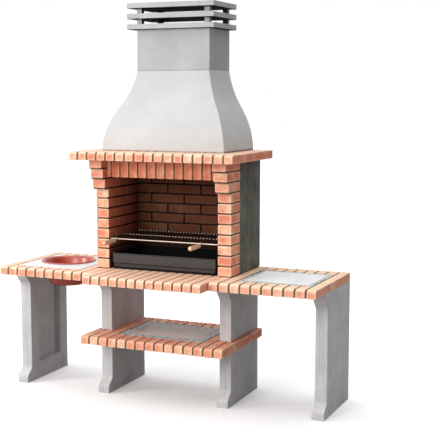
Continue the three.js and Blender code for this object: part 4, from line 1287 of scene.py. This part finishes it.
# %% [markdown]
# The strainer is pressed steel: a flanged cup in the drain with six holes. It is spun as well, and the
# holes are drilled through its plate.

# %% Strainer
flange_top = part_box("sink_strainer")[1].z
plate, cup = flange_top - 3 * MM, flange_top - 12 * MM
hole_count, hole_radius, hole_circle = 6, 4 * MM, 11 * MM
strainer = spun_over_drain([(0, plate), (19 * MM, plate), (19 * MM, cup), (21.5 * MM, cup),
                            (21.5 * MM, plate), (31 * MM, plate), (28 * MM, flange_top),
                            (0, flange_top)], 48, True, [(6, 1.2, 3)])
for i in range(hole_count):
    angle = math.tau * i / hole_count
    spot = (basin_middle.x + hole_circle * math.cos(angle), basin_middle.y + hole_circle * math.sin(angle))
    strainer = cut_out(strainer, new_drill(hole_radius, plate - 0.01, flange_top + 0.01, spot, 24))
add_piece(strainer, "sink_strainer_plate", [chrome], "sink_strainer")

# %% [markdown]
# ## Coal tray
# The tray is folded from sheet: a foot set back by a step, a straight wall and a hemmed rim, on two
# runners. It grows from its floor, a rectangle with rounded corners, by extruding level by level, and
# ends with the rim folded inward and the inside dropped to the floor. A black base set back under it is
# painted shade: it stands in for the dark gap over the hearth.

# %% Tray: the folded pan
low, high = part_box("coal_tray")
size, middle = high - low, (low + high) / 2
runner = hearth_top + 15 * MM
folds = [(7, 34), (3, 38), (3, 89), (0.6, 90), (0, 91), (0, 94), (0.6, 95), (5, 95), (6, 94), (6, 38),
         (10, 34), (10, 18)]
foot_inset, corner_radius = 7, 8
width, depth, level = size.x - 2 * foot_inset * MM, size.y - 2 * foot_inset * MM, runner
pan = new_sheet((middle.x, middle.y, runner), width, depth)
bmesh.ops.bevel(pan, geom=pan.verts[:], offset=corner_radius * MM, segments=6, profile=0.5,
                affect="VERTICES", material=-1)
region = pan.faces[:]
for inset, height in folds:
    made = bmesh.ops.extrude_face_region(pan, geom=region)
    used = [f for f in region if f.is_valid and f.calc_center_median().z > runner + 0.01 * MM]
    bmesh.ops.delete(pan, geom=used, context="FACES_ONLY")
    region = picked(made, bmesh.types.BMFace)
    new_width, new_depth, new_level = (size.x - 2 * inset * MM, size.y - 2 * inset * MM,
                                       hearth_top + height * MM)
    next_level(pan, made, (new_width / width, new_depth / depth), middle, new_level - level)
    width, depth, level = new_width, new_depth, new_level
bmesh.ops.recalc_face_normals(pan, faces=pan.faces)
print("the pan has", len(folds), "folds")

# %% Tray: soot, base and runners
def is_black_soot_and_shade(spot, normal):
    """Whether a face of the pan is black with soot and painted shade: inside it, or looking down under its
    fold.
    """
    inward = normal.dot(Vector((middle.x - spot.x, middle.y - spot.y, 0))) > 0.001
    inside = hearth_top + 17 * MM < spot.z < hearth_top + 94.5 * MM and (inward or normal.z > 0.5)
    return inside or normal.z < -0.3 and spot.z > hearth_top + 30 * MM


base_inset, runner_inset, runner_near, runner_far = 11 * MM, 22 * MM, 210 * MM, 232 * MM
# The inside of the pan and the faces under its fold get the soot and painted shade.
mark(pan, is_black_soot_and_shade)
base = eased_block((low.x + base_inset, low.y + base_inset, hearth_top + 1.5 * MM),
                   (high.x - base_inset, high.y - base_inset, runner + 0.5 * MM), 1.5, 2)
# The black base is painted shade: a dark block where there is only the shade under the tray.
mark(base)
add_to(pan, base)
for _, side in sides:
    x0, x1 = sided(side, runner_near, runner_far)
    add_to(pan, eased_block((x0, low.y + runner_inset, hearth_top + 0.3 * MM),
                            (x1, high.y - runner_inset, runner), 2, 2))
add_piece(pan, "coal_tray_pan", [enamel, tray_soot_and_shade], "coal_tray", "coal_tray", 50)

# %% [markdown]
# ## Grill
# Three rods lie across the firebox with their ends in the raked joints, and thirty-four thin bars are
# welded over them. At the front each bar bends down and ends on the front rod. Rods are drawn as one
# curve with a round section, which is how wire is made, and every crossing gets its small weld bead.

# %% Wire
def wire(lines, radius, rings):
    """Round wire along lines of points, as a bmesh."""
    curve = bpy.data.curves.new("wire", "CURVE")
    curve.dimensions = "3D"
    curve.bevel_depth = radius
    curve.bevel_resolution = rings
    curve.use_fill_caps = True
    for points in lines:
        spline = curve.splines.new("POLY")
        spline.points.add(len(points) - 1)
        for point, place in zip(spline.points, points):
            point.co = (*place, 1)
    bm = as_shown(scratch_object(curve))
    bpy.data.curves.remove(curve)
    bmesh.ops.recalc_face_normals(bm, faces=bm.faces)
    return bm


rod_axis = course(3)[0] - (course_rise - course_height) / 2
rod_radius, bar_radius, bar_count, bar_pitch = 4 * MM, 3 * MM, 34, 20 * MM
rod_depths, rod_end, rod_bright = (425, 280, 88), 354, 341
bar_x = [(i - (bar_count - 1) / 2) * bar_pitch for i in range(bar_count)]
print("the rods lie", round(rod_axis, 3), "m over the ground")

# %% Rods, bars and welds
rack = wire([[(x * MM, ahead(d), rod_axis) for x in (-rod_end, -rod_bright, rod_bright, rod_end)]
             for d in rod_depths], rod_radius, 4)
# The rods over the coals and the rod ends in the joints get the dark chrome: heat tint and painted shade.
mark(rack, lambda spot, normal: spot.y > ahead(rod_depths[0] - 10) or abs(spot.x) > rod_bright * MM)
bend = [(422.5, -1), (420.5, 1.8), (417.5, 4.2), (413, 5.9), (408, 6.4), (84, 6.4)]
bars = wire([[(x, ahead(d), rod_axis + h * MM) for d, h in bend] for x in bar_x], bar_radius, 2)
# The bars get the dark chrome as well.
mark(bars)
add_to(rack, bars)
bead_rise, bead_size = 8.6 * MM, Matrix.Diagonal((5.6, 8.5, 7.4, 1))
for x in bar_x:
    for depth in rod_depths[1:]:
        bead = bmesh.new()
        placed = Matrix.Translation((x, ahead(depth), rod_axis + bead_rise)) @ bead_size
        bmesh.ops.create_icosphere(bead, subdivisions=2, radius=MM, matrix=placed)
        add_to(rack, bead)
add_piece(rack, "grill_wires", [chrome, browned_and_shaded_chrome], "grill_rack", "grill", 60)

# %% [markdown]
# Two handles stand out at the front. A bent stem lies on the rods between two bars and dips in front of
# the grill, a chromed ferrule closes the wood, and the grip is turned, fuller in the middle and round at
# its nose. Ferrule and grip are spun about the stem, and the part of the stem over the coals is browned,
# partly the tint of the fire and partly painted shade.

# %% Handles: the turned parts
grip_axis = rod_axis - 8 * MM
nose = [(13 * math.cos(a), 574 + 13 * math.sin(a)) for a in (i * math.pi / 16 for i in range(8))]
swelling = [(11.5 + 1.5 * math.sin(math.pi * t / 2), 468 + 56 * t) for t in (0.2, 0.4, 0.6, 0.8, 1)]
grip = [(0, 492.5), (4.3, 492.5), (4.3, 462), (10.6, 462), (11.4, 462.8), (11.5, 468), *swelling,
        (13, 560), *nose, (0, 587)]
ferrule = [(4.3, 461.7), (10.3, 461.7), (10.5, 461.4), (10.5, 450.4), (8.6, 448.2), (4.3, 448)]


def turned_on_stem(profile, x, is_loop):
    """A profile of (radius, depth) pairs in millimetres, spun about the stem."""
    return turned([(x + r * MM, ahead(d), grip_axis) for r, d in profile], (x, 0, grip_axis), (0, 1, 0), 32,
                  is_loop)


print("the grip is", round(grip[-1][1] - grip[2][1]), "mm long")

# %% Handles
for name, bay in (("left", 1), ("right", 28)):
    x = bar_x[bay] + bar_pitch / 2
    over = rod_axis + 8.3 * MM
    path = [(276, over), (425, over), (428, over), (431.5, over - 1.2 * MM), (435, over - 4.6 * MM),
            (438, over - 9.4 * MM), (441, over - 13.4 * MM), (444.5, grip_axis + 0.6 * MM),
            (447.5, grip_axis), (492, grip_axis)]
    stem = wire([[(x, ahead(d), z) for d, z in path]], rod_radius, 4)
    # The part of the stem over the coals gets the dark chrome: heat tint and painted shade.
    mark(stem, lambda spot, normal: spot.y > ahead(430))
    add_piece(stem, f"{name}_handle_stem_wire", [chrome, browned_and_shaded_chrome], f"{name}_handle_stem",
              "grill", 60)
    add_piece(turned_on_stem(ferrule, x, True), f"{name}_handle_ferrule_ring", [chrome],
              f"{name}_handle_ferrule", "grill", 50)
    add_piece(turned_on_stem(grip, x, False), f"{name}_handle_grip_wood", [beech],
              f"{name}_handle_grip", "grill", 50)

# %% [markdown]
# ## Studio
# The photograph is a studio picture: a white floor and backdrop, and white all round. A softbox at the
# left draws the long soft shadows to the right, and a second one at the front lights the fronts. Both
# stand near, so the legs on the right get less of them, as in the picture. A weak wide sun from above
# lights the slabs, and a weaker one from the front opens the shadows, as a reflector does. The white is
# only what the camera and the reflections see, so it adds no light.

# %% World
scene = bpy.context.scene
scene.view_settings.view_transform = "Standard"
world = bpy.data.worlds.new("white_studio")
world.use_nodes = True
scene.world = world
tree = world.node_tree
ray = add_node(tree, "LightPath").outputs
seen = add_node(tree, "Math", {0: ray["Is Camera Ray"], 1: ray["Is Glossy Ray"]}, operation="MAXIMUM")
seen = add_node(tree, "Math", {0: seen, 1: ray["Is Transmission Ray"]}, operation="MAXIMUM")
soft = tree.nodes["Background"]
set_inputs(soft, {"Color": (0.95, 0.97, 1.0, 1), "Strength": 0.37})
white = add_node(tree, "Background", {"Color": (1, 1, 1, 1), "Strength": 1.0})
both = add_node(tree, "MixShader", {0: seen, 1: soft, 2: white})
set_inputs(tree.nodes["World Output"], {"Surface": both})
print(world.name, "has", len(tree.nodes), "nodes")

# %% Lamps
def add_lamp(name, kind, energy, place=(0, 0, 4), towards=(0, 0, -1), **settings):
    """A lamp at a place, shining along a direction."""
    lamp = bpy.data.lights.new(name, kind)
    lamp.energy = energy
    for key, value in settings.items():
        setattr(lamp, key, value)
    holder = bpy.data.objects.new(name, lamp)
    holder.location = place
    holder.rotation_euler = Vector(towards).to_track_quat("-Z", "Y").to_euler()
    scene.collection.objects.link(holder)


softbox = {"shape": "DISK", "color": (1.0, 0.985, 0.965)}
add_lamp("side_softbox", "AREA", 118, (-4.6, -2.5, 2.4), (4.6, 2.5, -1.6), size=1.9, **softbox)
add_lamp("front_softbox", "AREA", 125, (-1.1, -5.1, 2.6), (1.1, 5.1, -1.7), size=2.4, **softbox)
add_lamp("overhead", "SUN", 1.85, towards=(0.12, 0.2, -1), angle=math.radians(80))
add_lamp("reflector", "SUN", 0.2, towards=(0.1, 0.97, -0.2), angle=math.radians(70))

# %% [markdown]
# The floor is white paper that keeps the shadows. To the lamps it is a middling grey, so that it throws
# little light back at the barbecue. The camera sees it white: it glows for the camera, a painted light
# that is weak under and in front of the barbecue, so that the shadows there come out darker, and grows
# behind it.

# %% Floor
white_floor, tree, surface = new_finish("white_studio_floor")
set_inputs(surface, {"Base Color": linear("#b0b0b0"), "Roughness": 1.0, "Specular IOR Level": 0.0})
# Painted light: the floor glows for the camera, weak under and in front of the barbecue and stronger behind
# it.
painted_floor_glow = add_node(tree, "MapRange", {"Value": own_place(tree, "Y"), "From Min": ahead(500),
                                   "From Max": ahead(-250), "To Min": 0.08, "To Max": 0.4},
                interpolation_type="SMOOTHSTEP")
lift = add_node(tree, "Emission", {"Color": (1, 1, 1, 1), "Strength": painted_floor_glow})
paper = add_node(tree, "BsdfDiffuse", {"Color": linear("#f7f7f7")})
lifted = add_node(tree, "AddShader", {0: paper, 1: lift})
ray = add_node(tree, "LightPath").outputs["Is Camera Ray"]
shown = add_node(tree, "MixShader", {0: ray, 1: surface, 2: lifted})
set_inputs(tree.nodes["Material Output"], {"Surface": shown})
mesh = bpy.data.meshes.new("studio_floor")
new_sheet((0, 0, 0), 80, 80).to_mesh(mesh)
mesh.materials.append(white_floor)
floor = bpy.data.objects.new("studio_floor", mesh)
scene.collection.objects.link(floor)
print("floor laid")

# %% [markdown]
# ## Camera
# The place, direction and lens of the photograph were worked out from the edges of the slabs and legs:
# a long lens about six metres away, at head height, turned 24 degrees to the right side.

# %% Camera
lens = bpy.data.cameras.new("photo_view")
lens.sensor_fit = "HORIZONTAL"
lens.sensor_width = 36
lens.lens = 86.15
lens.shift_x, lens.shift_y = 0.0187, 0.00375
camera = bpy.data.objects.new("photo_view", lens)
camera.location = (2.642, -5.375, 1.749)
camera.rotation_euler = Vector((-0.4017, 0.9086, -0.1145)).to_track_quat("-Z", "Y").to_euler()
scene.collection.objects.link(camera)
scene.camera = camera
print("camera", [round(c, 2) for c in camera.location])

# %% [markdown]
# ## Sizes
# The box of the frame is printed. The dressed model may not grow past the frame.

# %% Sizes
print("frame", [round(v, 4) for v in (*frame_low, *frame_high)])
